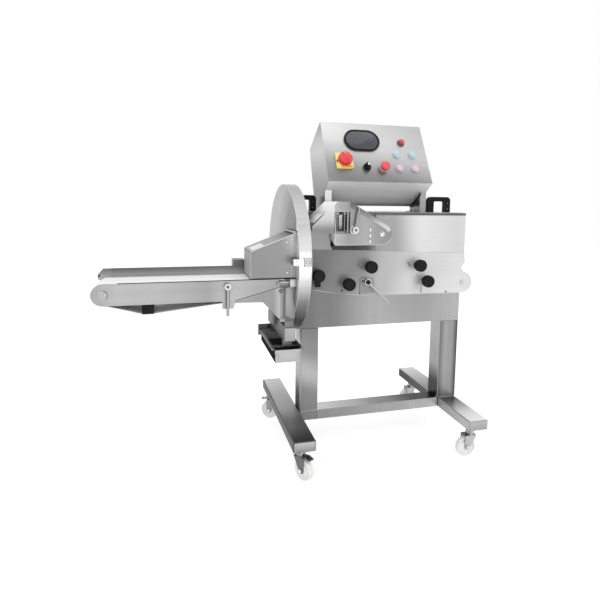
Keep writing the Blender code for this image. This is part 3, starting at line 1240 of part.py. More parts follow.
def roller(name, x, z, radius, ends, front, back, material=STEEL):
    """A belt roller with a shaft stub at each end."""
    front_end, back_end = ends
    shaft = ROLLER_SHAFT_RADIUS
    profile = [(front_end, 0), (front_end, shaft), (front, shaft), (front, radius),
               (back, radius), (back, shaft), (back_end, shaft), (back_end, 0)]
    body = turned(profile, (x, 0, z), (0, 1, 0))
    publish(body, name, material, (x, (front + back) / 2, z))


def outfeed_rollers():
    inner = SHEET + BELT_SIDE_GAP
    front, back = CONVEYOR_FRONT + inner, CONVEYOR_BACK - inner
    ends = (CONVEYOR_FRONT - SHEET, CONVEYOR_BACK + SHEET)
    roller("outfeed_tip_roller", TIP_X, TIP_Z, TIP_RADIUS - BELT - ROLLER_CLEAR, ends, front, back)
    roller("outfeed_drive_roller", DRIVE_X, DRIVE_Z, DRIVE_RADIUS, ends, front, back)


def lever(name, x, z, start_y, bar_y, hub_radius, bar_radius, length, angle, reach):
    """A cross-handle: a hub turned on the Y axis with a round bar from its side."""
    hub = rod(hub_radius, (x, start_y, z), (x, bar_y - bar_radius, z), MID_FACETS)
    stem = rod(bar_radius, (x, start_y - GAP, z), (x, start_y + reach, z))
    tip = (x + length * math.cos(angle), bar_y, z + length * math.sin(angle))
    bar = rod(bar_radius, (x, bar_y, z), tip, SMALL_FACETS, bar_radius * BAR_TAPER_SHARE)
    join(hub, stem, bar)
    publish(hub, name, BRIGHT, (x, start_y, z))


def clamp_lever():
    lever("clamp_lever", CLAMP_X, CLAMP_Z, CONVEYOR_FRONT - GAP, CONVEYOR_FRONT - CLAMP_HUB_LENGTH,
          CLAMP_HUB_RADIUS, CLAMP_BAR_RADIUS, CLAMP_BAR_LENGTH, math.radians(-90), SHEET)


# Feed channel
def cover_bottom(rise):
    """The lower edge of the channel: a hollow curve that runs out level to the tail roller."""
    points = []
    for i in range(ARC_STEPS):
        share = i / ARC_STEPS
        x = CHANNEL_LEFT + COVER_CURVE_END * share
        z = COVER_LEVEL_Z + (COVER_LEFT_LOW - COVER_LEVEL_Z) * (1 - share) ** COVER_CURVE_SHARE
        points.append((x, z + rise))
    points.append((COVER_CURVE_END, COVER_LEVEL_Z + rise))
    return points


def channel_outline(inset, top):
    outline = cover_bottom(inset)
    outline += arc((TAIL_X, TAIL_Z), COVER_RADIUS - inset, -90, 84, ARC_STEPS * 2)
    outline += [(COVER_NOTCH_X, COVER_NOTCH_Z), (CHANNEL_RIGHT + SHEET - inset, COVER_CORNER_Z)]
    return outline + top


def side_cover():
    """A pressed pan over the channel's lower half, with the base of the release lever."""
    seam = [(CHANNEL_RIGHT, COVER_SEAM_RIGHT), (COVER_SEAM_RUN, COVER_SEAM_LOW),
            (COVER_SEAM_MID_X, COVER_SEAM_MID), (CHANNEL_LEFT, COVER_SEAM_LEFT)]
    cover = outline_plate(channel_outline(0, seam), COVER_FRONT, COVER_FRONT + COVER_LIP)
    base_top = RELEASE_Z + RELEASE_BASE / 5
    base_left = RELEASE_X - RELEASE_BASE / 3
    base = block((base_left, COVER_FRONT - RELEASE_BASE_THICKNESS, base_top - RELEASE_BASE),
                 (base_left + RELEASE_BASE, COVER_FRONT + SHEET / 3, base_top))
    join(cover, base)
    inner = [(CHANNEL_LEFT - OVERRUN, COVER_LEFT_LOW + 2 * LIP_WALL)] + cover_bottom(LIP_WALL)[1:]
    inner += arc((TAIL_X, TAIL_Z), COVER_RADIUS - LIP_WALL, -90, 60, ARC_STEPS * 2)
    above_end = TAIL_Z + COVER_RADIUS + LIP_WALL
    inner += [(inner[-1][0], above_end), (CHANNEL_RIGHT + COVER_RADIUS, above_end),
              (CHANNEL_RIGHT + COVER_RADIUS, COVER_SEAM_LEFT + OVERRUN),
              (CHANNEL_LEFT - OVERRUN, COVER_SEAM_LEFT + OVERRUN)]
    cut(cover, outline_plate(inner, COVER_BACK, COVER_FRONT + COVER_LIP + OVERRUN))
    cut(cover, rod(FEED_STUB_RADIUS + GAP, (TAIL_X, COVER_FRONT - OVERRUN, TAIL_Z),
                   (TAIL_X, COVER_BACK + OVERRUN, TAIL_Z), MID_FACETS))
    publish(cover, "side_cover", STEEL)


def channel_wall():
    """Front and rear walls of the feed channel, joined by the floor pan at the inlet."""
    inset = SHEET
    lead = GUARD_HIGH_X
    guard_high = GUARD_LOW_Z + lead * GUARD_SLOPE_SHARE
    top = [(CHANNEL_RIGHT, CHANNEL_TOP), (WALL_SLOT_RIGHT, CHANNEL_TOP),
           (WALL_SLOT_RIGHT, WALL_SLOT_BOTTOM), (PRESSER_FOOT_X, WALL_SLOT_BOTTOM),
           (lead, PRESSER_BOTTOM), (lead, guard_high), (CHANNEL_LEFT, GUARD_LOW_Z)]
    front = outline_plate(channel_outline(inset, top), CHANNEL_FRONT, CHANNEL_FRONT + SHEET)
    rear_top = [(CHANNEL_RIGHT, CHANNEL_TOP), (WALL_SLOT_RIGHT, CHANNEL_TOP), (lead, guard_high),
                (CHANNEL_LEFT, GUARD_LOW_Z)]
    rear = outline_plate(channel_outline(inset, rear_top), REAR_INNER, REAR_WALL_Y)
    ledge = block((CHANNEL_LEFT + LEDGE_INSET, REAR_WALL_Y - SHEET / 2, GUARD_LOW_Z - LEDGE_DROP),
                  (CHANNEL_RIGHT - LEDGE_INSET, POST_FRONT - GAP, GUARD_LOW_Z - LEDGE_DROP + SHEET))
    low_ledge = block((CHANNEL_LEFT + LEDGE_INSET, REAR_WALL_Y - SHEET / 2, TAIL_Z),
                      (CHANNEL_RIGHT - LEDGE_INSET, POST_FRONT - GAP, TAIL_Z + SHEET))
    ties = [rod(TIE_RADIUS, (x, CHANNEL_FRONT + SHEET / 2, z), (x, REAR_INNER + SHEET / 2, z))
            for x, z in ((TIE_X, TAIL_Z), (TIE_SECOND_X, TIE_SECOND_Z))]
    join(front, rear, ledge, low_ledge, *ties)
    shafts = [(FEED_STUB_RADIUS, TAIL_X, TAIL_Z), (FEED_STUB_RADIUS, NOSE_X, NOSE_Z),
              (PIVOT_PIN_RADIUS, PRESSER_PIVOT_X, PRESSER_PIVOT_Z)]
    for radius, x, z in shafts:
        cut(front, rod(radius + GAP, (x, CHANNEL_FRONT - OVERRUN, z), (x, REAR_WALL_Y + OVERRUN, z)))
    publish(front, "channel_wall", STEEL)


def feed_bed():
    top = TAIL_Z + TAIL_RADIUS - GAP
    bed = block((NOSE_X + FEED_BED_SETBACK, CHANNEL_FRONT + SHEET + GAP, top - FEED_BED_THICKNESS),
                (TAIL_X - FEED_BED_SETBACK, REAR_INNER - GAP, top))
    publish(bed, "feed_bed", STEEL)


def feed_belt():
    path = arc((NOSE_X, NOSE_Z), NOSE_RADIUS + ROLLER_CLEAR, 90, 266, ARC_STEPS)
    path += arc((TAIL_X, TAIL_Z), TAIL_RADIUS + ROLLER_CLEAR, -94, 90, ARC_STEPS * 2)
    belt = belt_loop(path, CHANNEL_FRONT + FEED_SIDE_GAP, REAR_INNER - FEED_SIDE_GAP + SHEET)
    publish(belt, "feed_belt", WHITE_BELT)


def feed_rollers():
    front, back = CHANNEL_FRONT + FEED_SIDE_GAP, REAR_INNER - FEED_SIDE_GAP + SHEET
    outer = REAR_WALL_Y + SHEET
    roller("feed_tail_roller", TAIL_X, TAIL_Z, TAIL_RADIUS, (COVER_FRONT - SHEET, outer), front, back)
    roller("feed_nose_roller", NOSE_X, NOSE_Z, NOSE_RADIUS, (CHANNEL_FRONT, outer), front, back)


# Presser
def presser_outline(inset):
    end = arc((PRESSER_PIVOT_X, PRESSER_PIVOT_Z), PRESSER_END_RADIUS, -90, 56, ARC_STEPS)
    outline = [(PRESSER_FOOT_X, PRESSER_BOTTOM)] + end
    outline += [(PRESSER_PEAK_RIGHT, PRESSER_PEAK_Z), (PRESSER_PEAK_LEFT, PRESSER_PEAK_Z),
                (PRESSER_GUARD_LOW_X, PRESSER_GUARD_LOW_Z),
                (PRESSER_GUARD_LOW_X, PRESSER_GUARD_LOW_Z - PRESSER_GUARD_EDGE),
                (PRESSER_HEEL_X, PRESSER_NECK_Z), (PRESSER_HEEL_X, PRESSER_HEEL_Z)]
    return offset_loop(outline, -inset) if inset else outline


def presser_housing():
    """A pressed pan on the channel's front, with a tent of bent sheet over the channel."""
    back = CHANNEL_FRONT - GAP
    pan = outline_plate(presser_outline(0), PRESSER_FRONT, back)
    cut(pan, outline_plate(presser_outline(SHEET), PRESSER_FRONT + SHEET, back + OVERRUN))
    slope = (PRESSER_PEAK_Z - PRESSER_GUARD_LOW_Z) / (PRESSER_PEAK_LEFT - PRESSER_GUARD_LOW_X)
    fall = (TENT_RIGHT - PRESSER_PEAK_RIGHT) * GUARD_SLOPE_SHARE
    top = PRESSER_PEAK_Z - GAP
    under = top - SHEET
    left, low = PRESSER_GUARD_LOW_X + GAP, PRESSER_GUARD_LOW_Z - GAP
    roof = [(left, low), (left + SHEET, low - SHEET), (PRESSER_PEAK_LEFT + SHEET / slope / 2, under),
            (PRESSER_PEAK_RIGHT - SHEET / 2, under), (TENT_RIGHT - SHEET / 2, under - fall),
            (TENT_RIGHT, top - fall), (PRESSER_PEAK_RIGHT, top), (PRESSER_PEAK_LEFT, top)]
    join(pan, outline_plate(roof, PRESSER_FRONT + SHEET / 2, REAR_WALL_Y))
    window = block((WINDOW_LEFT, PRESSER_FRONT - OVERRUN, WINDOW_BOTTOM),
                   (WINDOW_RIGHT, PRESSER_FRONT + SHEET + GAP, WINDOW_TOP))
    pin_hole = rod(PIVOT_PIN_RADIUS + GAP, (PRESSER_PIVOT_X, PRESSER_FRONT - OVERRUN, PRESSER_PIVOT_Z),
                   (PRESSER_PIVOT_X, PRESSER_FRONT + SHEET + OVERRUN, PRESSER_PIVOT_Z), MID_FACETS)
    lever_hole = rod(LEVER_BAR_RADIUS + GAP, (PRESSER_LEVER_X, PRESSER_FRONT - OVERRUN, PRESSER_LEVER_Z),
                     (PRESSER_LEVER_X, PRESSER_FRONT + SHEET + OVERRUN, PRESSER_LEVER_Z), MID_FACETS)
    cut(pan, window, pin_hole, lever_hole)
    publish(pan, "presser_housing", STEEL)


def rod_places():
    return [CARRIER_X - ROD_SPACING / 2, CARRIER_X + ROD_SPACING / 2]


def presser_arm():
    """The hold-down arm: a tapered skid on its pivot pin, with two spring posts at its toe."""
    toe = arc((ARM_TOE_X, ARM_TOE_Z), ARM_TOE_RADIUS, 95, 268, ARC_STEPS)
    heel = arc((PRESSER_PIVOT_X, PRESSER_PIVOT_Z), ARM_HEEL_RADIUS, -92, 95, ARC_STEPS)
    arm = outline_plate(toe + heel, CHANNEL_FRONT + FEED_SIDE_GAP, REAR_INNER - FEED_SIDE_GAP + SHEET)
    pin = rod(PIVOT_PIN_RADIUS, (PRESSER_PIVOT_X, PRESSER_FRONT - SHEET, PRESSER_PIVOT_Z),
              (PRESSER_PIVOT_X, REAR_WALL_Y + SHEET, PRESSER_PIVOT_Z), MID_FACETS)
    carrier = block((CARRIER_X - CARRIER_WIDTH / 2, ROD_Y - CARRIER_DEPTH / 2, ARM_TOE_Z),
                    (CARRIER_X + CARRIER_WIDTH / 2, ROD_Y + CARRIER_DEPTH / 2, CARRIER_Z),
                    bevel=ROD_RADIUS / 3)
    join(arm, pin, carrier)
    for x in rod_places():
        post = turned([(ARM_TOE_Z, 0), (ARM_TOE_Z, ROD_RADIUS), (SPRING_TOP, ROD_RADIUS),
                       (SPRING_TOP, SPRING_RADIUS), (ROD_TOP, SPRING_RADIUS), (ROD_TOP, 0)],
                      (x, ROD_Y, 0), (0, 0, 1), SMALL_FACETS)
        join(arm, post)
    publish(arm, "presser_arm", STEEL, (PRESSER_PIVOT_X, ROD_Y, PRESSER_PIVOT_Z))


def presser_spring(name, x):
    """A coil spring round its post, between the carrier and the post's collar."""
    low = CARRIER_Z + SPRING_WIRE + GAP
    high = SPRING_TOP - SPRING_WIRE - GAP
    points = []
    steps = SPRING_TURNS * SPRING_STEPS
    for i in range(steps + 1):
        angle = 2 * math.pi * i / SPRING_STEPS
        z = low + (high - low) * i / steps
        points.append((x + SPRING_COIL * math.cos(angle), ROD_Y + SPRING_COIL * math.sin(angle), z))
    spring = bent_rod(points, SPRING_WIRE, resolution=1)
    publish(spring, name, BLACK)
    gaps = [(Vector(points[i + SPRING_STEPS]) - Vector(points[i])).length - 2 * SPRING_WIRE
            for i in range(steps - SPRING_STEPS)]
    print(name, "least gap between turns, m:", round(min(gaps), 5))


def presser_lever():
    lever("presser_lever", PRESSER_LEVER_X, PRESSER_LEVER_Z, PRESSER_FRONT - GAP,
          PRESSER_FRONT - LEVER_HUB_LENGTH, LEVER_HUB_RADIUS, LEVER_BAR_RADIUS, PRESSER_LEVER_LENGTH,
          PRESSER_LEVER_LEAN, SHEET)


# Clamping knobs and the belt release lever
def clamp_knob(name, x, z):
    back = COVER_FRONT - GAP
    middle = KNOB_FRONT + KNOB_THICKNESS
    knob = turned([(KNOB_FRONT, 0), (KNOB_FRONT, KNOB_RADIUS * KNOB_FACE_SHARE),
                   (KNOB_FRONT + KNOB_RIM / 2, KNOB_RADIUS - KNOB_RIM), (KNOB_FRONT + KNOB_RIM, KNOB_RADIUS),
                   (middle - KNOB_RIM, KNOB_RADIUS), (middle, KNOB_RADIUS - KNOB_RIM),
                   (middle, KNOB_STEM_RADIUS), (back, KNOB_STEM_RADIUS), (back, 0)], (x, 0, z), (0, 1, 0))
    if name == "clamp_knob_1":
        arm = block((x - KNOB_ARM_WIDTH / 2, middle - KNOB_RIM, z - KNOB_ARM_LENGTH),
                    (x + KNOB_ARM_WIDTH / 2, middle + KNOB_ARM_THICKNESS, z), bevel=KNOB_RIM / 2)
        join(knob, arm)
    if name == "clamp_knob_5":
        pin_y = middle + KNOB_RIM
        pin_x = x - KNOB_PIN_REACH
        corners = [(x, pin_y, z), (pin_x, pin_y, z), (pin_x, pin_y, z - KNOB_PIN_DROP)]
        pin = bent_rod(corners, KNOB_PIN_RADIUS)
        join(knob, pin)
    publish(knob, name, BLACK, (x, back, z))


def release_lever():
    start = COVER_FRONT - RELEASE_BASE_THICKNESS - GAP
    lever("release_lever", RELEASE_X, RELEASE_Z, start, start - RELEASE_STANDOFF, LEVER_HUB_RADIUS,
          RELEASE_BAR_RADIUS, RELEASE_LENGTH, RELEASE_ANGLE, 0)


foot_beam("left_foot_beam", LEFT_BEAM_X)
foot_beam("right_foot_beam", RIGHT_BEAM_LEFT)
stand_uprights()
for corner, (caster_x, caster_y, caster_angle, caster_brake) in CASTERS.items():
    caster(corner, caster_x, caster_y, caster_angle, caster_brake)
cabinet()
cabinet_lid()
lid_handle("lid_handle_left", LEFT_HANDLE_X, LEFT_HANDLE_Y)
lid_handle("lid_handle_right", RIGHT_HANDLE_X, RIGHT_HANDLE_Y)
console_shell()
display()
main_switch()
selector()
emergency_stop()
pilot_lamp()
push_button("start_button_1", FIRST_BUTTON_ACROSS, UPPER_ROW_UP, GREEN)
push_button("start_button_2", SECOND_BUTTON_ACROSS, UPPER_ROW_UP, GREEN)
push_button("stop_button_1", FIRST_BUTTON_ACROSS, LOWER_ROW_UP, PINK)
push_button("stop_button_2", SECOND_BUTTON_ACROSS, LOWER_ROW_UP, PINK)
drum_housing()
blade()
blade_shaft()
blade_motor()
discharge_hood()
hood_latch()
conveyor_bracket()
scrap_tray()
conveyor_front_plate()
conveyor_rear_plate()
conveyor_bed()
outfeed_belt()
outfeed_rollers()
clamp_lever()
side_cover()
channel_wall()
feed_bed()
feed_belt()
feed_rollers()
presser_housing()
presser_arm()
presser_spring("presser_spring_left", rod_places()[0])
presser_spring("presser_spring_right", rod_places()[1])
presser_lever()
for knob_name, (knob_x, knob_z) in KNOB_PLACES.items():
    clamp_knob(knob_name, knob_x, knob_z)
release_lever()
bpy.context.view_layer.update()
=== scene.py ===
# Looks of the conveyor-fed meat slicer: finishes, small hardware, studio and camera.
# Metres; X runs along the conveyors, -Y is the operator's side, +Z is up.
import json
import math

import bmesh
import bpy
from mathutils import Matrix, Vector

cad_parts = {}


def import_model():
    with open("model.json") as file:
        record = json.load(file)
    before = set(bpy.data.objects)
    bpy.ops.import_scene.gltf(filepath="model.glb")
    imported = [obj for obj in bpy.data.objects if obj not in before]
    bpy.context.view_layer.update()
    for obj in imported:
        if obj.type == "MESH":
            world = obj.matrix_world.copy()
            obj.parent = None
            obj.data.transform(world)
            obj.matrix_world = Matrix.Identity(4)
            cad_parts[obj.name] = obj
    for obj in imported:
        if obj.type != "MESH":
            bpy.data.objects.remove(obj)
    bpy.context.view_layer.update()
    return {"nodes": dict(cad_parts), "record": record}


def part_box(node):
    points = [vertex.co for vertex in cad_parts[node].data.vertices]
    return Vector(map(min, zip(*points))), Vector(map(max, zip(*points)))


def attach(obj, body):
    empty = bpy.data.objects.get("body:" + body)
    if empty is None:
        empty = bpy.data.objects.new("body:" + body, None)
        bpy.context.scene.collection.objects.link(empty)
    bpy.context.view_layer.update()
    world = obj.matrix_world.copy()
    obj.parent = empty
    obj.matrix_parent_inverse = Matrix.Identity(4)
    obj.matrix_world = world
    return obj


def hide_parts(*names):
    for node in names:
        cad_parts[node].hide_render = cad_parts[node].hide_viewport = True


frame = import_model()
nodes = frame["nodes"]
MERGE = 1e-5        # points this near are one point
SEAT = 0.0002       # gap under a piece that lies on a CAD face
LEFT, RIGHT = (-1, 0, 0), (1, 0, 0)
FRONT, BACK = (0, -1, 0), (0, 1, 0)
UP = (0, 0, 1)


# Finishes
def feed(node, **inputs):
    """Set a node's inputs, or link those that are given an output. A _ stands for a space."""
    for name, value in inputs.items():
        socket = node.inputs[name.replace("_", " ")]
        if isinstance(value, bpy.types.NodeSocket):
            node.id_data.links.new(value, socket)
        else:
            socket.default_value = value


def finish(name, colour, roughness, metallic=0, coat=0, shine=0.5):
    """A named surface finish with its node tree and shader."""
    material = bpy.data.materials.new(name)
    material.use_nodes = True
    material.diffuse_color = (*colour, 1)
    tree = material.node_tree
    shader = tree.nodes["Principled BSDF"]
    feed(shader, Base_Color=(*colour, 1), Roughness=roughness, Metallic=metallic,
         Coat_Weight=coat, Specular_IOR_Level=shine)
    return material, tree, shader


def grain(tree, scale, detail):
    """Noise stretched by its three scales over the piece's own place."""
    place = tree.nodes.new("ShaderNodeTexCoord")
    mapping = tree.nodes.new("ShaderNodeMapping")
    feed(mapping, Scale=scale, Vector=place.outputs["Object"])
    noise = tree.nodes.new("ShaderNodeTexNoise")
    feed(noise, Scale=1, Detail=detail, Vector=mapping.outputs["Vector"])
    return noise.outputs["Fac"]


def spread(tree, value, low, high, from_low=0.3, from_high=0.7):
    """The value carried from one range to another."""
    node = tree.nodes.new("ShaderNodeMapRange")
    feed(node, Value=value, From_Min=from_low, From_Max=from_high, To_Min=low, To_Max=high)
    return node.outputs["Result"]


def maths(tree, operation, *values):
    """Several values joined one after another by the same operation."""
    joined = values[0]
    for value in values[1:]:
        node = tree.nodes.new("ShaderNodeMath")
        node.operation = operation
        tree.links.new(joined, node.inputs[0])
        tree.links.new(value, node.inputs[1])
        joined = node.outputs["Value"]
    return joined


def colour_mix(tree, under, over, share=1, how="MIX"):
    """One colour laid over another by a share."""
    node = tree.nodes.new("ShaderNodeMix")
    node.data_type = "RGBA"
    node.blend_type = how
    feed(node, Factor=share, A=under, B=over)
    return node.outputs["Result"]


def tint(tree, shader, colour, shade):
    """The base colour darkened and lightened by a shade near one."""
    feed(shader, Base_Color=colour_mix(tree, (*colour, 1), shade, how="MULTIPLY"))


RELIEF_STRENGTH = 0.5


def relief(tree, shader, height, distance):
    """Shallow relief, its full height given as a distance."""
    node = tree.nodes.new("ShaderNodeBump")
    feed(node, Distance=distance, Strength=RELIEF_STRENGTH, Height=height)
    feed(shader, Normal=node.outputs["Normal"])


def reflectance(tone):
    """Linear reflectance of a tone from 0 to 255 on screen, by the screen's own curve."""
    return ((tone / 255 + 0.055) / 1.055) ** 2.4


def along(tree, output, direction):
    """How far a point, or a facing, reaches in one direction."""
    place = tree.nodes.new("ShaderNodeTexCoord")
    node = tree.nodes.new("ShaderNodeVectorMath")
    node.operation = "DOT_PRODUCT"
    node.inputs[1].default_value = direction
    tree.links.new(place.outputs[output], node.inputs[0])
    return node.outputs["Value"]


STRAIGHT_STOPS = 6      # a run of this many tones or more goes straight from each to the next


def fade(tree, direction, stops, output="Object"):
    """A soft run of tones, each at its distance, or its facing, in one direction."""
    first, last = stops[0][0], stops[-1][0]
    share = spread(tree, along(tree, output, direction), 0, 1, first, last)
    ramp = tree.nodes.new("ShaderNodeValToRGB")
    ramp.color_ramp.interpolation = "EASE" if len(stops) < STRAIGHT_STOPS else "LINEAR"
    while len(ramp.color_ramp.elements) < len(stops):
        ramp.color_ramp.elements.new(0.5)
    for element, (distance, tone) in zip(ramp.color_ramp.elements, stops):
        element.position = (distance - first) / (last - first)
        element.color = (*[reflectance(tone)] * 3, 1)
    feed(ramp, Fac=share)
    return ramp.outputs["Color"]


FACE_TURN_SHARE = 0.9      # how nearly a face has to turn one way to count as facing it
FACE_EDGE_SHARE = 0.05
PANEL_EDGE = 0.0005


def faces(tree, facing):
    """1 where the sheet faces one way, and 0 elsewhere."""
    turned = along(tree, "Normal", Vector(facing).normalized())
    return spread(tree, turned, 0, 1, FACE_TURN_SHARE - FACE_EDGE_SHARE,
                  FACE_TURN_SHARE + FACE_EDGE_SHARE)


def painted_light_tones(tree, tone, painted_panels):
    """The sheet's plain tone, and over it painted shade and painted reflections: the tones of
    each panel that faces one way.

    A panel gives its facing, the direction that its tones run in, and the tones. It may also give
    a direction and the two distances in it between which the panel lies."""
    shade = fade(tree, UP, [(0, tone), (1, tone)])
    for facing, direction, stops, *within in painted_panels:
        here = faces(tree, facing)
        if within:
            run, start, end = within[0]
            place = along(tree, "Object", run)
            here = maths(tree, "MULTIPLY", here,
                         spread(tree, place, 0, 1, start - PANEL_EDGE, start),
                         spread(tree, place, 1, 0, end, end + PANEL_EDGE))
        shade = colour_mix(tree, shade, fade(tree, direction, stops), here)
    return shade


# How often each pattern repeats in a metre: along the brushing, and across it
BRUSH_LONG, BRUSH_FINE = 6.0, 700.0
STREAK_LONG, STREAK_WIDE = 1.2, 60.0
CLOUD_SIZE = (6, 6, 6)
HAIR_SHARE = 0.03
BRUSH_RELIEF = 0.00003
FILM_METALLIC = 0.1


def steel(name, brushed_along, tone, painted_panels=(), roughness=0.34, streak=0.035, cloud=0.05,
          film_side=None, metallic=0.72, shine=0.5):
    """Brushed stainless sheet: hair-fine lines and faint wide streaks along one axis.

    A drum is brushed along two axes. The side that still carries its dull protective film
    reflects less like a mirror."""
    material, tree, shader = finish(name, (reflectance(tone),) * 3, roughness, metallic,
                                    shine=shine)
    fine = [BRUSH_LONG if axis in brushed_along else BRUSH_FINE for axis in "XYZ"]
    wide = [STREAK_LONG if axis in brushed_along else STREAK_WIDE for axis in "XYZ"]
    lines = grain(tree, fine, 2)
    streaks = spread(tree, grain(tree, wide, 4), 1 - streak, 1 + streak)
    clouds = spread(tree, grain(tree, CLOUD_SIZE, 2), 1 - cloud, 1 + cloud)
    hair = spread(tree, lines, 1 - HAIR_SHARE, 1 + HAIR_SHARE)
    shade = maths(tree, "MULTIPLY", streaks, clouds, hair)
    # Over the plain tone lie painted shade and painted reflections, by facing and place.
    tones = painted_light_tones(tree, tone, painted_panels)
    feed(shader, Base_Color=colour_mix(tree, tones, shade, how="MULTIPLY"),
         Roughness=spread(tree, lines, roughness - 0.05, roughness + 0.07))
    relief(tree, shader, lines, BRUSH_RELIEF)
    if film_side:
        feed(shader, Metallic=spread(tree, faces(tree, film_side), metallic, FILM_METALLIC, 0, 1))
    return material


# Facings at which the painted reflections change tone, and the direction they are measured in.
PAINTED_REFLECTION_STOPS = (-1.0, -0.45, -0.05, 0.3, 0.65, 1.0)
PAINTED_REFLECTION_TURN = Vector((-0.62, -0.25, 0.74))


def chrome(name, tones=(50, 76, 116, 182, 104, 196), roughness=0.18):
    """Plated rod and hardware: painted reflections, dark and bright bands round each curve by how
    far it turns up.
    """
    material, tree, shader = finish(name, (0.6, 0.6, 0.6), roughness, metallic=1)
    bands = fade(tree, PAINTED_REFLECTION_TURN, list(zip(PAINTED_REFLECTION_STOPS, tones)), "Normal")
    wear = grain(tree, (90, 90, 90), 3)
    feed(shader, Base_Color=bands,
         Roughness=spread(tree, wear, roughness - 0.03, roughness + 0.06))
    return material


PEBBLE_RELIEF = 0.00005
WEAVE_RELIEF = 0.00012


def moulded(name, colour, roughness, grain_size=1500, coat=0, shine=0.5):
    """Moulded plastic with a fine pebbled skin and slight wear of its shine."""
    material, tree, shader = finish(name, colour, roughness, coat=coat, shine=shine)
    pebble = grain(tree, (grain_size,) * 3, 2)
    wear = grain(tree, (60, 60, 60), 3)
    tint(tree, shader, colour, spread(tree, wear, 0.93, 1.07))
    feed(shader, Roughness=spread(tree, wear, roughness - 0.06, roughness + 0.08))
    relief(tree, shader, pebble, PEBBLE_RELIEF)
    return material


def belt_finish():
    """White belting: a smooth skin with a faint cross weave and use marks along it."""
    colour = (0.95, 0.955, 0.955)
    material, tree, shader = finish("white_belt", colour, 0.5)
    weave = grain(tree, (900, 500, 900), 1)
    marks = grain(tree, (3, 60, 60), 4)
    tint(tree, shader, colour, spread(tree, marks, 0.95, 1.04))
    feed(shader, Roughness=spread(tree, marks, 0.42, 0.6))
    relief(tree, shader, weave, WEAVE_RELIEF)
    return material


def display_finish():
    """Dark slate screen with a faint speckle of unlit cells behind its glass."""
    colour = (0.026, 0.03, 0.045)
    material, tree, shader = finish("display_glass", colour, 0.22, coat=0.5)
    cells = spread(tree, grain(tree, (420, 420, 420), 4), 0.6, 1.6, 0.4, 0.66)
    cloud = spread(tree, grain(tree, (28, 28, 28), 3), 0.8, 1.25)
    tint(tree, shader, colour, maths(tree, "MULTIPLY", cells, cloud))
    return material


PLAIN_X = steel("brushed_steel_lengthwise", "X", 176)
PLAIN_Y = steel("brushed_steel_crosswise", "Y", 172)
PLAIN_Z = steel("brushed_steel_upright", "Z", 172)
# A lighter and a darker copy of the same brushed steel: painted light and painted shade.
LIT_STEEL = steel("bright_brushed_steel", "X", 200)
SHADED_STEEL = steel("shaded_steel", "X", 96)
# Plated finishes whose dark and bright bands are painted reflections; the bright copy is lighter
# and the spring wire darker.
POLISHED = chrome("polished_steel")
BRIGHT = chrome("bright_steel", (140, 160, 186, 206, 222, 200), 0.22)
SPRING = chrome("spring_wire", (14, 24, 60, 110, 130, 60), 0.2)
STRAP = steel("strap_steel", "X", 196, roughness=0.2, streak=0.02, cloud=0.02)
BLADE_STEEL = steel("ground_blade_steel", "Y", 214, roughness=0.2)
BLACK = moulded("black_plastic", (0.005, 0.005, 0.006), 0.42, shine=0.15)
RUBBER = moulded("black_rubber", (0.012, 0.012, 0.012), 0.62, grain_size=700, shine=0.25)
FLAP = moulded("grey_flap", (0.36, 0.36, 0.36), 0.55, grain_size=500)
NYLON = moulded("white_nylon", (0.93, 0.93, 0.92), 0.4)
RED = moulded("red_plastic", (0.74, 0.035, 0.04), 0.3, coat=0.3)
ROSE_RED = moulded("stop_red_plastic", (0.8, 0.075, 0.1), 0.32, coat=0.3)
RUBY = moulded("ruby_lens", (0.42, 0.012, 0.035), 0.2, coat=0.6)
YELLOW = moulded("yellow_plate", (1.0, 0.9, 0.33), 0.38)
ORANGE = moulded("orange_edge", (0.92, 0.33, 0.03), 0.38)
TEAL = moulded("teal_lens", (0.4, 0.64, 0.68), 0.14, coat=1.0)
ROSE = moulded("rose_lens", (0.72, 0.5, 0.63), 0.14, coat=1.0)
PALE = moulded("pale_plate", (0.8, 0.77, 0.8), 0.35)
WHITE = moulded("white_mark", (0.86, 0.86, 0.86), 0.4)
BELT = belt_finish()
SCREEN = display_finish()


def dress(finish_made, *names):
    """Give CAD nodes their finish."""
    for name in names:
        mesh = nodes[name].data
        mesh.materials.clear()
        mesh.materials.append(finish_made)


def named(start):
    """The CAD nodes whose names start alike."""
    return [name for name in nodes if name.startswith(start)]


# The console's tilted face: its lower and upper left corners, and its directions
FACE_FOOT = Vector((0.1045, -0.101, 1.024))
FACE_TOP = Vector((0.1045, 0.023, 1.25))
FACE_RUN = (FACE_TOP - FACE_FOOT).normalized()
FACE_OUT = Vector((0, -FACE_RUN.z, FACE_RUN.y))
UNDER = Vector((0, -0.55, -0.83)).normalized()
BAND_TURNS = [math.radians(t) for t in (-65, -40, -15, 10, 35, 60, 85)]


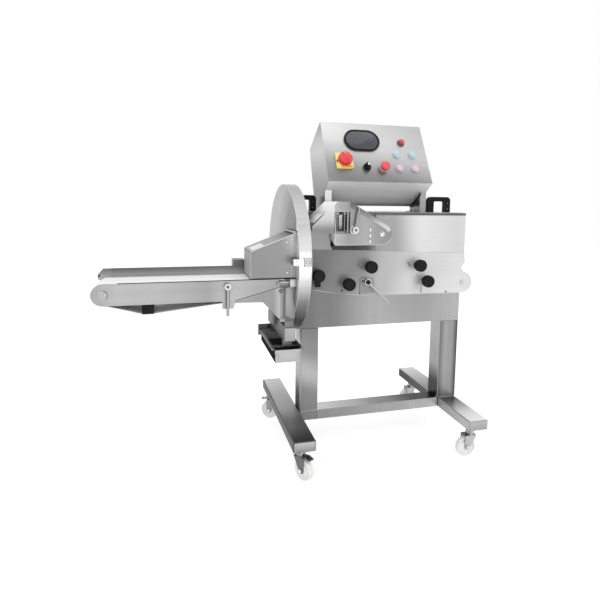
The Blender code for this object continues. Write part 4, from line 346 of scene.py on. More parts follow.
def dress_sheet_metal():
    """Each folded sheet in its own tones: painted shade and painted reflections of the studio's
    cards, by facing and place.
    """
    dress(steel("console_sheet", "X", 190, [
        (FACE_OUT, Vector((0.25, 0, 1)), [(1.03, 58), (1.078, 68), (1.123, 106), (1.175, 164),
                                          (1.228, 196), (1.268, 202), (1.31, 196), (1.36, 188)]),
        (LEFT, UP, [(0.915, 142), (0.99, 140), (1.06, 172), (1.14, 210), (1.19, 196), (1.25, 140)]),
        (RIGHT, UP, [(0.915, 120), (1.06, 170), (1.25, 205)]),
        (UNDER, UP, [(0.937, 138), (0.955, 204), (0.985, 244), (1.02, 255)]),
        (FRONT, RIGHT, [(0.1, 216), (0.2, 190), (0.52, 156)]),
        (BACK, UP, [(0.93, 120), (1.16, 200)])], streak=0.015, film_side=UNDER), "console_shell")
    dress(steel("lid_sheet", "X", 225, [
        (UP, RIGHT, [(0, 226), (0.3, 240), (0.67, 224)]),
        (FRONT, RIGHT, [(0.25, 98), (0.67, 150)])]), "cabinet_lid")
    dress(steel("channel_sheet", "X", 170, [
        (FRONT, Vector((1, 0, 0.15)),
         [(0.12, 124), (0.28, 122), (0.42, 150), (0.54, 210), (0.7, 196)])],
        streak=0.018), "channel_wall")
    dress(steel("side_cover_sheet", "X", 190, [
        (FRONT, Vector((1, 0, -0.35)),
         [(-0.24, 100), (-0.12, 120), (0.02, 172), (0.14, 202), (0.36, 208)])],
        roughness=0.42, streak=0.018, metallic=0.5), "side_cover")
    dress(steel("cabinet_sheet", "Z", 176, [
        (FRONT, RIGHT, [(0.0, 98), (0.12, 112), (0.32, 158), (0.5, 152), (0.67, 166)]),
        (LEFT, UP, [(0.48, 110), (0.91, 150)])]), "cabinet")
    dress(steel("presser_sheet", "X", 186, [
        (FRONT, RIGHT, [(0, 180), (0.06, 170), (0.13, 134), (0.19, 150), (0.24, 138), (0.29, 132)]),
        (FRONT, UP, [(0.855, 116), (0.9, 182), (0.945, 206)], (RIGHT, -0.02, 0.079)),
        ((-0.7, 0, 0.72), UP, [(0.86, 136), (0.9, 170), (0.925, 236), (0.95, 244)]),
        (UP, RIGHT, [(0.0, 236), (0.13, 240)]),
        ((0.52, 0, 0.86), RIGHT, [(0.13, 112), (0.19, 120)])], streak=0.015), "presser_housing")
    # Painted shade and reflections round the drum's band, set by height for each of its facings.
    band = [(0.5, 62), (0.56, 84), (0.62, 122), (0.68, 190), (0.75, 226), (0.83, 214), (0.9, 176),
            (0.98, 152), (1.01, 166)]
    dress(steel("drum_sheet", "YZ", 190, [
        (LEFT, Vector((0, 1, 1)), [(0.6, 76), (0.75, 108), (0.86, 154), (0.94, 174)]),
        (LEFT, UP, [(0.6, 110), (0.69, 238), (0.8, 252), (0.86, 220)], (BACK, -0.31, -0.2535)),
        *[((0, -math.cos(a), math.sin(a)), UP, band) for a in BAND_TURNS]],
        roughness=0.3, streak=0.02, cloud=0.02), "drum_housing")
    dress(steel("hood_sheet", "Y", 160, [
        (FRONT, Vector((1, 0, 0.3)), [(0.02, 122), (0.14, 126), (0.2, 158)]),
        ((-0.3, 0, 1), RIGHT, [(-0.2, 158), (-0.13, 136), (-0.05, 86)]),
        (LEFT, UP, [(0.7, 152), (0.79, 150)])]), "discharge_hood")
    dress(steel("conveyor_front_sheet", "X", 178, [
        (FRONT, RIGHT, [(-0.675, 160), (-0.6, 174), (-0.4, 150), (-0.33, 138), (-0.27, 156),
                        (-0.1, 132)]),
        (UP, RIGHT, [(-0.6, 90), (-0.1, 130)])]), "conveyor_front_plate")
    dress(steel("conveyor_rear_sheet", "X", 116, [
        (FRONT, UP, [(0.62, 190), (0.69, 176), (0.7, 150), (0.727, 96)])]), "conveyor_rear_plate")
    dress(steel("bracket_sheet", "Z", 120, [
        (FRONT, RIGHT, [(-0.25, 136), (-0.13, 128), (-0.098, 160), (-0.09, 112), (-0.05, 98)]),
        (FRONT, UP, [(0.48, 141), (0.538, 150)], (BACK, -0.26, -0.2565)),
        (UP, BACK, [(-0.26, 70), (0.03, 84)]),
        (LEFT, UP, [(0.45, 34), (0.545, 44), (0.6, 92), (0.68, 120)])]), "conveyor_bracket")
    dress(steel("tray_sheet", "Y", 26, [
        (FRONT, RIGHT, [(-0.125, 170), (-0.11, 196), (-0.04, 196), (-0.024, 150)]),
        (LEFT, BACK, [(-0.25, 46), (0.03, 50)]),
        (RIGHT, BACK, [(-0.25, 90), (0.03, 110)]),
        (UP, BACK, [(-0.25, 50), (0.03, 66)])], roughness=0.5, metallic=0, shine=0), "scrap_tray")
    dress(steel("stand_sheet", "Z", 160, [
        (FRONT, RIGHT, [(0.08, 134), (0.4, 156), (0.6, 202)]),
        (FRONT, Vector((0.4, 0, 1)),
         [(0.17, 120), (0.24, 128), (0.325, 168), (0.42, 126), (0.5, 114)], (RIGHT, 0, 0.086)),
        (FRONT, RIGHT,
         [(0.597, 112), (0.622, 152), (0.648, 142), (0.675, 66)], (RIGHT, 0.595, 0.68)),
        (LEFT, UP, [(0.15, 20), (0.21, 34), (0.31, 156), (0.48, 170)]),
        (RIGHT, UP, [(0.15, 90), (0.48, 170)]),
        (UP, RIGHT, [(0.08, 216), (0.2, 190), (0.36, 134), (0.5, 40), (0.6, 16)])]),
        "stand_uprights")
    dress(steel("left_beam_sheet", "Y", 78, [
        (LEFT, BACK, [(-0.3, 32), (0.3, 16)]),
        (UP, BACK, [(-0.3, 42), (-0.16, 102), (0.02, 174), (0.3, 202)]),
        (FRONT, UP, [(0.12, 146), (0.157, 188)]),
        (RIGHT, BACK, [(-0.3, 170), (0.3, 120)])], metallic=0.3, shine=0.15), "left_foot_beam")
    dress(steel("right_beam_sheet", "Y", 150, [
        (UP, BACK, [(-0.3, 240), (-0.22, 214), (-0.1, 92), (-0.06, 86), (0.08, 150), (0.3, 216)]),
        (FRONT, UP, [(0.12, 156), (0.157, 172)]),
        (LEFT, BACK, [(-0.3, 188), (-0.1, 160), (0.05, 70), (0.3, 30)])]), "right_foot_beam")


def dress_the_rest():
    """The plain sheets, plated parts, mouldings and belts."""
    dress(PLAIN_X, "feed_bed", "conveyor_bed")
    dress(PLAIN_Y, "feed_nose_roller", "outfeed_tip_roller")
    # The drive roller in the darker copy of the steel: painted shade.
    dress(SHADED_STEEL, "outfeed_drive_roller")
    dress(PLAIN_Z, "presser_arm", "blade_motor")
    dress(STRAP, "hood_latch")
    dress(LIT_STEEL, "feed_tail_roller")
    dress(POLISHED, "clamp_lever", "presser_lever", "release_lever", "blade_shaft",
          *named("caster_fork"), *named("brake_pedal"))
    dress(BLADE_STEEL, "blade")
    dress(BLACK, "lid_handle_left", "lid_handle_right", "selector_knob", "display",
          *named("clamp_knob"))
    dress(SPRING, "presser_spring_left", "presser_spring_right")
    dress(NYLON, *named("caster_wheel"))
    dress(BELT, "outfeed_belt", "feed_belt")
    dress(ROSE_RED, "emergency_stop")
    dress(YELLOW, "main_switch_plate")


dress_sheet_metal()
dress_the_rest()


# Making small pieces
def show(name, data):
    """A new object in the scene."""
    obj = bpy.data.objects.new(name, data)
    bpy.context.scene.collection.objects.link(obj)
    return obj


def piece(name, bm, material, body, replaced=(), smooth_angle=35):
    """A finished mesh that rides on a CAD body and may stand for CAD nodes."""
    bmesh.ops.remove_doubles(bm, verts=bm.verts, dist=MERGE)
    bmesh.ops.recalc_face_normals(bm, faces=bm.faces)
    mesh = bpy.data.meshes.new(name)
    bm.to_mesh(mesh)
    bm.free()
    mesh.shade_smooth()
    mesh.set_sharp_from_angle(angle=math.radians(smooth_angle))
    mesh.materials.append(material)
    obj = show(name, mesh)
    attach(obj, body)
    if replaced:
        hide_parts(*replaced)


def aim(at, axis):
    """A matrix that carries +Z onto the axis and the origin to the place."""
    turn = Vector((0, 0, 1)).rotation_difference(Vector(axis).normalized())
    return Matrix.Translation(at) @ turn.to_matrix().to_4x4()


def lathe(bm, profile, at, axis, steps=24):
    """Spin a profile of (radius, height) points round an axis into the mesh."""
    made = bmesh.new()
    points = [made.verts.new((radius, 0, height)) for radius, height in profile]
    edges = [made.edges.new(pair) for pair in zip(points, points[1:])]
    bmesh.ops.spin(made, geom=points + edges, cent=(0, 0, 0), axis=(0, 0, 1), angle=2 * math.pi,
                   steps=steps, use_merge=True)
    bmesh.ops.remove_doubles(made, verts=made.verts, dist=MERGE)
    bmesh.ops.transform(made, matrix=aim(at, axis), verts=made.verts)
    add(bm, made)


def add(bm, made):
    """Carry one mesh into another."""
    mesh = bpy.data.meshes.new("part_of_piece")
    made.to_mesh(mesh)
    made.free()
    bm.from_mesh(mesh)
    bpy.data.meshes.remove(mesh)


def ring(bm, radius, wire, at, axis, steps=32, around=10):
    """A round hoop of wire."""
    turns = [2 * math.pi * i / around for i in range(around + 1)]
    lathe(bm, [(radius + wire * math.cos(a), wire * math.sin(a)) for a in turns], at, axis, steps)


def slab(bm, low, high, bevel=0.0, segments=2, matrix=None):
    """A bevelled box between two corners, added to the mesh."""
    made = bmesh.new()
    bmesh.ops.create_cube(made, size=1)
    size = [high[i] - low[i] for i in range(3)]
    centre = [(high[i] + low[i]) / 2 for i in range(3)]
    bmesh.ops.scale(made, vec=size, verts=made.verts)
    bmesh.ops.translate(made, vec=centre, verts=made.verts)
    if bevel:
        bmesh.ops.bevel(made, geom=made.edges[:], offset=bevel, segments=segments, affect="EDGES",
                        profile=0.5, material=-1)
    if matrix:
        bmesh.ops.transform(made, matrix=matrix, verts=made.verts)
    add(bm, made)


END_EASE = 0.35         # share of a bar's radius by which its ends are eased


def bar(bm, points, radius, steps=12):
    """A round bar along straight stretches, with eased ends and mitred bends."""
    made = bmesh.new()
    points = [Vector(p) for p in points]
    loops = []
    for i, point in enumerate(points):
        before = (point - points[i - 1]).normalized() if i else (points[1] - point).normalized()
        after = (points[i + 1] - point).normalized() if i < len(points) - 1 else before
        loop = bmesh.ops.create_circle(made, segments=steps, radius=radius)["verts"]
        bmesh.ops.transform(made, matrix=aim(point, (before + after).normalized()), verts=loop)
        loops.append(loop)
    for first, second in zip(loops, loops[1:]):
        pair = set(first) | set(second)
        edges = [e for e in made.edges if e.verts[0] in pair and e.verts[1] in pair
                 and (e.verts[0] in first) == (e.verts[1] in first)]
        bmesh.ops.bridge_loops(made, edges=edges)
    ease = radius * END_EASE
    for loop in (loops[0], loops[-1]):
        end = made.faces.new(loop)
        bmesh.ops.inset_region(made, faces=[end], thickness=ease, depth=ease)
        end.normal_update()
    add(bm, made)


def plate(bm, loop, thickness, bevel, matrix, segments=2):
    """A flat outline in the XY plane, thickened along +Z, its upper edge eased."""
    made = bmesh.new()
    corners = [made.verts.new((x, y, 0)) for x, y in loop]
    face = made.faces.new(corners)
    face.normal_update()
    if face.normal.z < 0:
        face.normal_flip()
    top = bmesh.ops.extrude_face_region(made, geom=[face])["geom"]
    lifted = [v for v in top if isinstance(v, bmesh.types.BMVert)]
    bmesh.ops.translate(made, vec=(0, 0, thickness), verts=lifted)
    if bevel:
        rim = [e for e in made.edges if e.verts[0] in lifted and e.verts[1] in lifted]
        bmesh.ops.bevel(made, geom=rim, offset=bevel, segments=segments, affect="EDGES",
                        profile=0.5, material=-1)
    bmesh.ops.transform(made, matrix=matrix, verts=made.verts)
    add(bm, made)


def arc(cx, cy, radius, start, end, steps):
    """Points on an arc, its ends given in degrees."""
    turns = [math.radians(start + (end - start) * i / steps) for i in range(steps + 1)]
    return [(cx + radius * math.cos(a), cy + radius * math.sin(a)) for a in turns]


def round_box(width, height, corner):
    """The outline of a rectangle with round corners."""
    x, y = width / 2 - corner, height / 2 - corner
    corners = ((x, -y, -90), (x, y, 0), (-x, y, 90), (-x, -y, 180))
    return [point for cx, cy, turn in corners for point in arc(cx, cy, corner, turn, turn + 90, 4)]


def flat_on(at, facing, across=None):
    """A matrix that lays the XY plane at a place, facing out, with X along a direction."""
    out = Vector(facing).normalized()
    x = Vector(across).normalized() if across else Vector(RIGHT)
    y = out.cross(x).normalized()
    x = y.cross(out)
    return Matrix.Translation(at) @ Matrix((x, y, out)).transposed().to_4x4()


def on_face(across, up, out=0.0):
    """A point on the console's tilted face."""
    return FACE_FOOT + Vector((across, 0, 0)) + FACE_RUN * up + FACE_OUT * out


def pan_head(radius, height):
    """A pan head with a round recess."""
    return [(radius, 0), (radius, height * 0.4), (radius * 0.82, height * 0.85),
            (radius * 0.45, height), (radius * 0.34, height * 0.55), (0, height * 0.55)]


def cap_head(radius, height):
    """A hexagon's chamfered head when spun in six steps."""
    return [(radius, 0), (radius, height * 0.8), (radius * 0.85, height), (0, height)]


def collar(radius, straight, eased, height, bore):
    """A washer's or collar's profile: straight side, eased edge, flat top and bore."""
    return [(radius, 0), (radius, straight), (eased, height), (bore, height), (bore, 0)]


def cap(radius, straight, eased, edge, height):
    """A low round cap's profile: straight side, eased edge and slightly crowned top."""
    return [(radius, 0), (radius, straight), (eased, edge), (0, height)]


def build(name, material, slot, *shapes, body="frame", replaced=(), smooth_angle=35):
    """A piece made of one or more shapes, each given with its measures."""
    bm = bmesh.new()
    for shape, *measures in shapes:
        shape(bm, *measures)
    piece(name, bm, material, body, replaced, smooth_angle)


def screws(name, places, axis, radius, height, body="frame", material=POLISHED, steps=16,
           head=pan_head):
    """A group of like fasteners in one piece."""
    bm = bmesh.new()
    for place in places:
        lathe(bm, head(radius, height), place, axis, steps)
    piece(name, bm, material, body)


# Console: places on its face, across from its left edge and up it
DISPLAY_UP = 0.1785
SWITCH_AT = (0.069, 0.084)
SWITCH_PLATE_FACE = 0.0093
SELECTOR_AT = (0.155, 0.06)
STOP_AT = (0.223, 0.06)
LAMP_AT = (0.3145, 0.176)
BUTTON_COLUMNS = (0.287, 0.352)
START_UP, STOP_UP = 0.121, 0.06


def stadium(width, height):
    """The outline of a bar with fully round ends."""
    half = height / 2
    side = width / 2 - half
    return arc(side, 0, half, -90, 90, 20) + arc(-side, 0, half, 90, 270, 20)


def console_display():
    """A glass pane set in its black rubber ring, with a raised lip round it."""
    low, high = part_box("display")
    centre = (low + high) / 2
    across = centre.x - FACE_FOOT.x
    at = on_face(across, DISPLAY_UP)
    build("display_pane", SCREEN, "dark_screen",
          (plate, stadium(0.135, 0.085), 0.0012, 0.0005, flat_on(at + FACE_OUT * 0.0043, FACE_OUT)))
    outer = [Vector((x, y, 0)) for x, y in stadium(0.1405, 0.0905)]
    matrix = flat_on(at + FACE_OUT * 0.0061, FACE_OUT)
    points = [matrix @ p for p in outer]
    build("display_lip", RUBBER, "black_plastic", (bar, points + points[:2], 0.0008, 8))


def console_switch():
    """The main switch: orange seat, dished red dial with a grip rib, and a locking hole."""
    across, up = SWITCH_AT
    at = on_face(across, up, SWITCH_PLATE_FACE)
    build("switch_seat", ORANGE, "yellow_plate",
          (lathe, collar(0.0275, 0.002, 0.026, 0.0034, 0.0125), at, FACE_OUT, 40),
          (plate, [(-0.016, -0.03), (0.03, -0.03), (0.03, -0.0225), (-0.016, -0.0225)], 0.0005, 0,
           flat_on(at, FACE_OUT)))
    build("switch_padlock_hole", BLACK, "black_plastic",
          (plate, round_box(0.005, 0.01, 0.002), 0.0009, 0.0003,
           flat_on(on_face(across - 0.0288, up - 0.004, SWITCH_PLATE_FACE), FACE_OUT)))
    corner = 0.0265
    places = [on_face(across + x * corner, up + y * corner, SWITCH_PLATE_FACE)
              for x in (-1, 1) for y in (-1, 1)]
    screws("switch_plate_screws", places, FACE_OUT, 0.0022, 0.0012, material=BRIGHT)
    rib = flat_on(on_face(across, up), FACE_OUT, (1, 0, 0.5))
    build("switch_dial", RED, "red_plastic",
          (lathe,
           [(0.0255, 0.0132), (0.0261, 0.015), (0.0261, 0.026), (0.0248, 0.03), (0.021, 0.0328),
            (0.012, 0.0345), (0, 0.035)],
           on_face(across, up), FACE_OUT, 40),
          (lathe, [(0.006, -0.018), (0.006, 0.0132), (0.0255, 0.0132)], on_face(across, up),
           FACE_OUT, 24),
          (slab, (-0.006, -0.0225, 0.03), (0.006, 0.0225, 0.0362), 0.0024, 3, rib),
          body="switch_knob", replaced=["main_switch_knob"])
    build("switch_pointer", WHITE, "white_nylon",
          (slab, (-0.0006, 0.012, 0.0361), (0.0006, 0.02, 0.0365), 0, 1, rib), body="switch_knob")


def bezel_profile(radius, bore, height):
    """A button collar's rounded profile."""
    return [(radius, 0), (radius * 1.03, height * 0.2), (radius, height * 0.55),
            (radius * 0.94, height * 0.9), (radius * 0.86, height), (bore, height * 0.8), (bore, 0)]


def console_buttons():
    """Chrome collars fixed to the face, with domed lenses on the moving buttons."""
    rows = ((START_UP, TEAL, "start", "green_plastic"), (STOP_UP, ROSE, "stop", "pink_red_plastic"))
    bezels = bmesh.new()
    for up, lens, kind, slot in rows:
        for i, across in enumerate(BUTTON_COLUMNS, 1):
            at = on_face(across, up, SEAT)
            lathe(bezels, bezel_profile(0.016, 0.0138, 0.0046), at, FACE_OUT, 32)
            build(f"{kind}_lens_{i}", lens, slot,
                  (lathe,
                   [(0.007, -0.018), (0.007, 0.0034), (0.0134, 0.0034), (0.0135, 0.0072),
                    (0.0126, 0.0091), (0.0098, 0.0105), (0.0052, 0.0113), (0, 0.0116)],
                   on_face(across, up), FACE_OUT, 28), body=f"{kind}_push_{i}",
                  replaced=[f"{kind}_button_{i}"], smooth_angle=50)
    piece("button_collars", bezels, LIT_STEEL, "frame")
    build("pilot_collar", SHADED_STEEL, "polished_steel",
          (lathe, bezel_profile(0.015, 0.0122, 0.005), on_face(*LAMP_AT, SEAT), FACE_OUT, 32))
    build("pilot_lens", RUBY, "red_plastic",
          (lathe,
           [(0.007, -0.018), (0.007, SEAT), (0.012, SEAT), (0.0126, 0.0085), (0.0112, 0.0115),
            (0.0062, 0.0132), (0, 0.0136)],
           on_face(*LAMP_AT), FACE_OUT, 12), replaced=["pilot_lamp"], smooth_angle=20)
    # A lighter red dome on the lens's crown: a painted highlight.
    build("pilot_glint", ROSE_RED, "red_plastic",
          (lathe, [(0.0048, 0.0128), (0.0042, 0.0142), (0, 0.0146)], on_face(*LAMP_AT), FACE_OUT,
           16))


def console_selector_and_stop():
    """The selector's collar and body, a white patch on its top right that is a painted highlight,
    and the stop's collar and rim.
    """
    build("selector_collar", SHADED_STEEL, "polished_steel",
          (lathe, bezel_profile(0.0158, 0.0147, 0.0038), on_face(*SELECTOR_AT, SEAT), FACE_OUT, 32))
    build("selector_body", BLACK, "black_plastic",
          (lathe, [(0.0142, 0.0046), (0.0142, 0.0095), (0.0128, 0.0115), (0, 0.0115)],
           on_face(*SELECTOR_AT), FACE_OUT, 32), body="selector")
    # A white patch near the selector's top right: a painted highlight.
    tip = flat_on(on_face(*SELECTOR_AT, 0.0184), FACE_OUT)
    build("selector_painted_highlight", WHITE, "white_nylon",
          (plate, round_box(0.006, 0.01, 0.002), 0.0008, 0.0003,
           tip @ Matrix.Translation((0.003, 0.0068, 0))), body="selector")
    build("stop_collar", PLAIN_X, "polished_steel",
          (lathe, collar(0.0152, 0.002, 0.014, 0.003, 0.012), on_face(*STOP_AT, SEAT), FACE_OUT,
           36))
    build("stop_head_rim", ROSE_RED, "red_plastic",
          (ring, 0.0178, 0.0007, on_face(*STOP_AT, 0.0185), FACE_OUT, 40, 8),
          body="emergency_stop_push")


def console_case():
    """The rear cover with its screws, a dark plate in the right leg painted as the shadow there,
    and the legs' foot bolts.
    """
    back_foot, back_top = Vector((0.311, 0.084, 0.935)), Vector((0.311, 0.171, 1.1586))
    back_mid = (back_foot + back_top) / 2
    back_run = (back_top - back_foot).normalized()
    back_out = Vector((0, back_run.z, -back_run.y))
    matrix = flat_on(back_mid + back_out * SEAT, back_out, LEFT)
    build("console_rear_cover", PLAIN_X, "brushed_stainless",
          (plate, round_box(0.36, 0.19, 0.006), 0.0015, 0.0005, matrix))
    places = [matrix @ Vector((x * 0.17, y * 0.085, 0.0015)) for x in (-1, 0, 1) for y in (-1, 1)]
    screws("console_cover_screws", places, back_out, 0.0042, 0.0022)
    # A dark plate set where the right leg shows only shadow: painted shade.
    shadow_outline = [(0.062, 0.9885), (0.071, 0.986), (0.0075, 0.932), (-0.03, 0.932)]
    sheet = steel("leg_shadow_sheet", "Z", 40, roughness=0.5, metallic=0.2, shine=0.15)
    build("leg_shadow_plate", sheet, "brushed_stainless",
          (plate, shadow_outline, 0.0012, 0.0003, flat_on((0.4885, 0, 0), LEFT, FRONT)))
    feet = [Vector((x, y, 0.9155)) for x in (0.119, 0.5025) for y in (-0.035, 0.045)]
    screws("console_foot_bolts", [p + Vector((0, 0, 0.0018)) for p in feet], UP, 0.0062, 0.0042,
           steps=6, head=cap_head)


console_display()
console_switch()
console_buttons()
console_selector_and_stop()
console_case()


# Side cover: knobs, eye bolts, belt release
COVER_FRONT = -0.2433
ON_COVER = COVER_FRONT - SEAT
KNOB_FRONT = -0.288
KNOB_THICKNESS = 0.02
KNOB_RADIUS = 0.021
FLUTES = 30
KNOBS = {1: (0.021, 0.709), 2: (0.1275, 0.677), 3: (0.205, 0.734), 4: (0.387, 0.735),
         5: (0.4185, 0.679)}


def fluted_disc(bm, at, radius, thickness, flutes, depth):
    """A knob's head: fluted rim, eased edges and a shallow dish in its face. +Z is its face."""
    made = bmesh.new()
    circle = bmesh.ops.create_circle(made, segments=flutes * 4, radius=radius, cap_ends=True)
    for i, vert in enumerate(circle["verts"]):
        wave = 0.5 + 0.5 * math.cos(2 * math.pi * i / 4)
        vert.co *= 1 - depth * wave / radius
    face = made.faces[:][0]
    face.normal_update()
    if face.normal.z < 0:
        face.normal_flip()
    back = bmesh.ops.extrude_face_region(made, geom=[face])["geom"]
    lifted = [v for v in back if isinstance(v, bmesh.types.BMVert)]
    bmesh.ops.translate(made, vec=(0, 0, thickness - 0.003), verts=lifted)
    top = [f for f in back if isinstance(f, bmesh.types.BMFace)]
    dish = ((0.0016, 0.0022), (0.0035, 0.0008), (0.003, -0.0012), (0.004, -0.0002))
    for inward, outward in dish:
        bmesh.ops.inset_region(made, faces=top, thickness=inward, depth=outward)
    bmesh.ops.transform(made, matrix=aim(at, FRONT), verts=made.verts)
    add(bm, made)


def clamping_knobs():
    """Five fluted heads on plated stems, with a washer under each. The first has an arm too, and
    the last a drop rod."""
    washers = bmesh.new()
    head_back = KNOB_FRONT + KNOB_THICKNESS
    for number, (x, z) in KNOBS.items():
        bm = bmesh.new()
        fluted_disc(bm, (x, head_back, z), KNOB_RADIUS, KNOB_THICKNESS, FLUTES, 0.0007)
        lathe(bm, [(0.01, 0), (0.009, 0.006), (0, 0.006)], (x, head_back + 0.0055, z), FRONT)
        if number == 1:
            slab(bm, (x - 0.0105, -0.271, z - 0.039), (x + 0.0095, -0.262, z), 0.003, 3)
        piece(f"grip_knob_{number}", bm, BLACK, f"knob_{number}",
              [f"clamp_knob_{number}"], 40)
        bm = bmesh.new()
        lathe(bm, [(0.006, 0), (0.006, 0.0215), (0, 0.0215)], (x, ON_COVER, z), FRONT, 20)
        if number == 5:
            y = head_back + 0.003
            bar(bm, [(x, y, z), (x - 0.018, y, z), (x - 0.02, y, z - 0.002),
                     (x - 0.02, y, z - 0.041)], 0.0025)
        piece(f"knob_stem_{number}", bm, POLISHED, f"knob_{number}")
        lathe(washers, collar(0.0105, 0.001, 0.0095, 0.0016, 0.0064),
              (x, ON_COVER, z), FRONT, 28)
    piece("knob_washers", washers, POLISHED, "frame")


def eye_bolts():
    """Pairs of small eyes beside the upper knobs, for the covers' retaining wires."""
    bm = bmesh.new()
    for x, z in ((0.173, 0.7405), (0.1775, 0.7325), (0.3545, 0.7425), (0.359, 0.7345)):
        bar(bm, [(x, ON_COVER, z), (x, COVER_FRONT - 0.008, z)], 0.0016, 10)
        ring(bm, 0.0034, 0.0009, (x, COVER_FRONT - 0.0115, z), RIGHT, 20, 8)
        lathe(bm, cap_head(0.0036, 0.0022), (x, ON_COVER, z), FRONT, 6)
    piece("eye_bolts", bm, POLISHED, "frame")


def cover_lower_edge():
    """A bright bead along the side cover's lower edge, curved at its left: a painted highlight."""
    length, rise, low, bend, steps = 0.235, 0.028, 0.6318, 1.7, 8
    run = [length * i / steps for i in range(steps + 1)]
    points = [(x, COVER_FRONT - 0.0004, low + rise * (1 - x / length) ** bend) for x in run]
    build("cover_edge_highlight", BRIGHT, "polished_steel", (bar, points, 0.0009, 8))


def cover_studs():
    """Three black studs near the cover's lower edge."""
    bm = bmesh.new()
    for x, z in ((0.113, 0.6515), (0.5085, 0.6335), (0.178, 0.64)):
        lathe(bm, [(0.003, 0), (0.0026, 0.0018), (0, 0.0022)], (x, ON_COVER, z), FRONT,
              16)
    piece("cover_studs", bm, BLACK, "frame")


RELEASE_AT = Vector((0.1965, 0, 0.682))
RELEASE_PLATE_AT = Vector((0.2035, 0, 0.665))


def belt_release():
    """Seat plate, its screws, and the lever's capped hub."""
    mid = RELEASE_PLATE_AT
    matrix = flat_on((mid.x, COVER_FRONT - 0.003 - SEAT, mid.z), FRONT)
    # The seat plate's tone runs lighter to the right: painted shade and reflection, like the
    # cover's.
    sheet = steel("release_plate_sheet", "X", 150, [
        (FRONT, RIGHT, [(0.17, 132), (0.24, 154)])], roughness=0.42, metallic=0.5)
    build("release_plate", sheet, "brushed_stainless",
          (plate, round_box(0.052, 0.052, 0.004), 0.0004, 0.0002, matrix))
    face = COVER_FRONT - 0.0038
    corners = ((-0.021, -0.021), (0.021, 0.021), (-0.021, 0.021))
    places = [(mid.x + x, face, mid.z + z) for x, z in corners]
    screws("release_plate_screws", places, FRONT, 0.003, 0.0018)
    build("release_bush", POLISHED, "polished_steel",
          (lathe, collar(0.0132, 0.004, 0.012, 0.0055, 0.0114), (RELEASE_AT.x, face, RELEASE_AT.z),
           FRONT, 28))
    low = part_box("release_lever")[0]
    build("release_cap", BLACK, "black_plastic",
          (lathe, cap(0.0085, 0.0016, 0.007, 0.0028, 0.003),
           (RELEASE_AT.x, low.y - SEAT, RELEASE_AT.z), FRONT, 24), body="belt_release")


clamping_knobs()
eye_bolts()
cover_studs()
cover_lower_edge()
belt_release()


# Presser: its pan's front face, the arm's pivot and rounded end, and the lever's hub
PAN_FRONT = -0.252
ON_PAN = PAN_FRONT - SEAT
PIVOT_X, PIVOT_Z, END_RADIUS = 0.25, 0.843, 0.0362
HUB_X, HUB_Z = 0.15, 0.858


def presser_details():
    """The pan's bright edges, sloping band, stop studs, star screw and washers."""
    end = arc(PIVOT_X, PIVOT_Z, END_RADIUS, -90, -20, 6)
    build("presser_lower_edge", BRIGHT, "polished_steel",
          (bar, [(x, PAN_FRONT - 0.0002, z) for x, z in [(0.084, 0.807)] + end], 0.0012, 8))
    outer = arc(PIVOT_X, PIVOT_Z, END_RADIUS, 20, 56, 5) + [(0.1345, 0.9505), (0.1345, 0.933)]
    inner = arc(PIVOT_X, PIVOT_Z, 0.022, 56, 20, 5)
    # The sloping band's tone runs lighter towards the right: painted shade and reflection.
    sheet = steel("slope_band_sheet", "X", 120, [
        (FRONT, RIGHT, [(0.13, 96), (0.19, 120), (0.27, 186)])])
    build("presser_slope_band", sheet, "brushed_stainless",
          (plate, outer + inner, 0.0009, 0.0004, flat_on((0, ON_PAN, 0), FRONT)))
    build("presser_roof_edge", BRIGHT, "polished_steel",
          (bar, [(0.0045, PAN_FRONT - 0.0002, 0.8668), (0.088, PAN_FRONT - 0.0002, 0.95)], 0.0009,
           8))
    bm = bmesh.new()
    for z in (0.857, 0.837, 0.817):
        made = bmesh.new()
        bmesh.ops.create_uvsphere(made, u_segments=20, v_segments=12, radius=1)
        bmesh.ops.scale(made, vec=(0.0038, 0.0022, 0.0066), verts=made.verts)
        bmesh.ops.translate(made, vec=(0.208, PAN_FRONT - 0.0003, z), verts=made.verts)
        add(bm, made)
    piece("presser_stop_studs", bm, BRIGHT, "frame")
    star = [((0.0095 if i % 2 else 0.0055), math.pi * i / 6) for i in range(12)]
    star = [(reach * math.cos(turn), reach * math.sin(turn)) for reach, turn in star]
    build("presser_star_screw", BRIGHT, "polished_steel",
          (plate, star, 0.0042, 0.0008, flat_on((PIVOT_X, -0.2553, PIVOT_Z), FRONT)),
          body="presser")
    build("presser_washers", LIT_STEEL, "polished_steel",
          (lathe, collar(0.01, 0.0008, 0.0092, 0.0014, 0.0066),
           (PIVOT_X, ON_PAN, PIVOT_Z), FRONT, 32),
          (lathe, collar(0.0145, 0.001, 0.0135, 0.0016, 0.0115), (HUB_X, ON_PAN, HUB_Z),
           FRONT, 32))


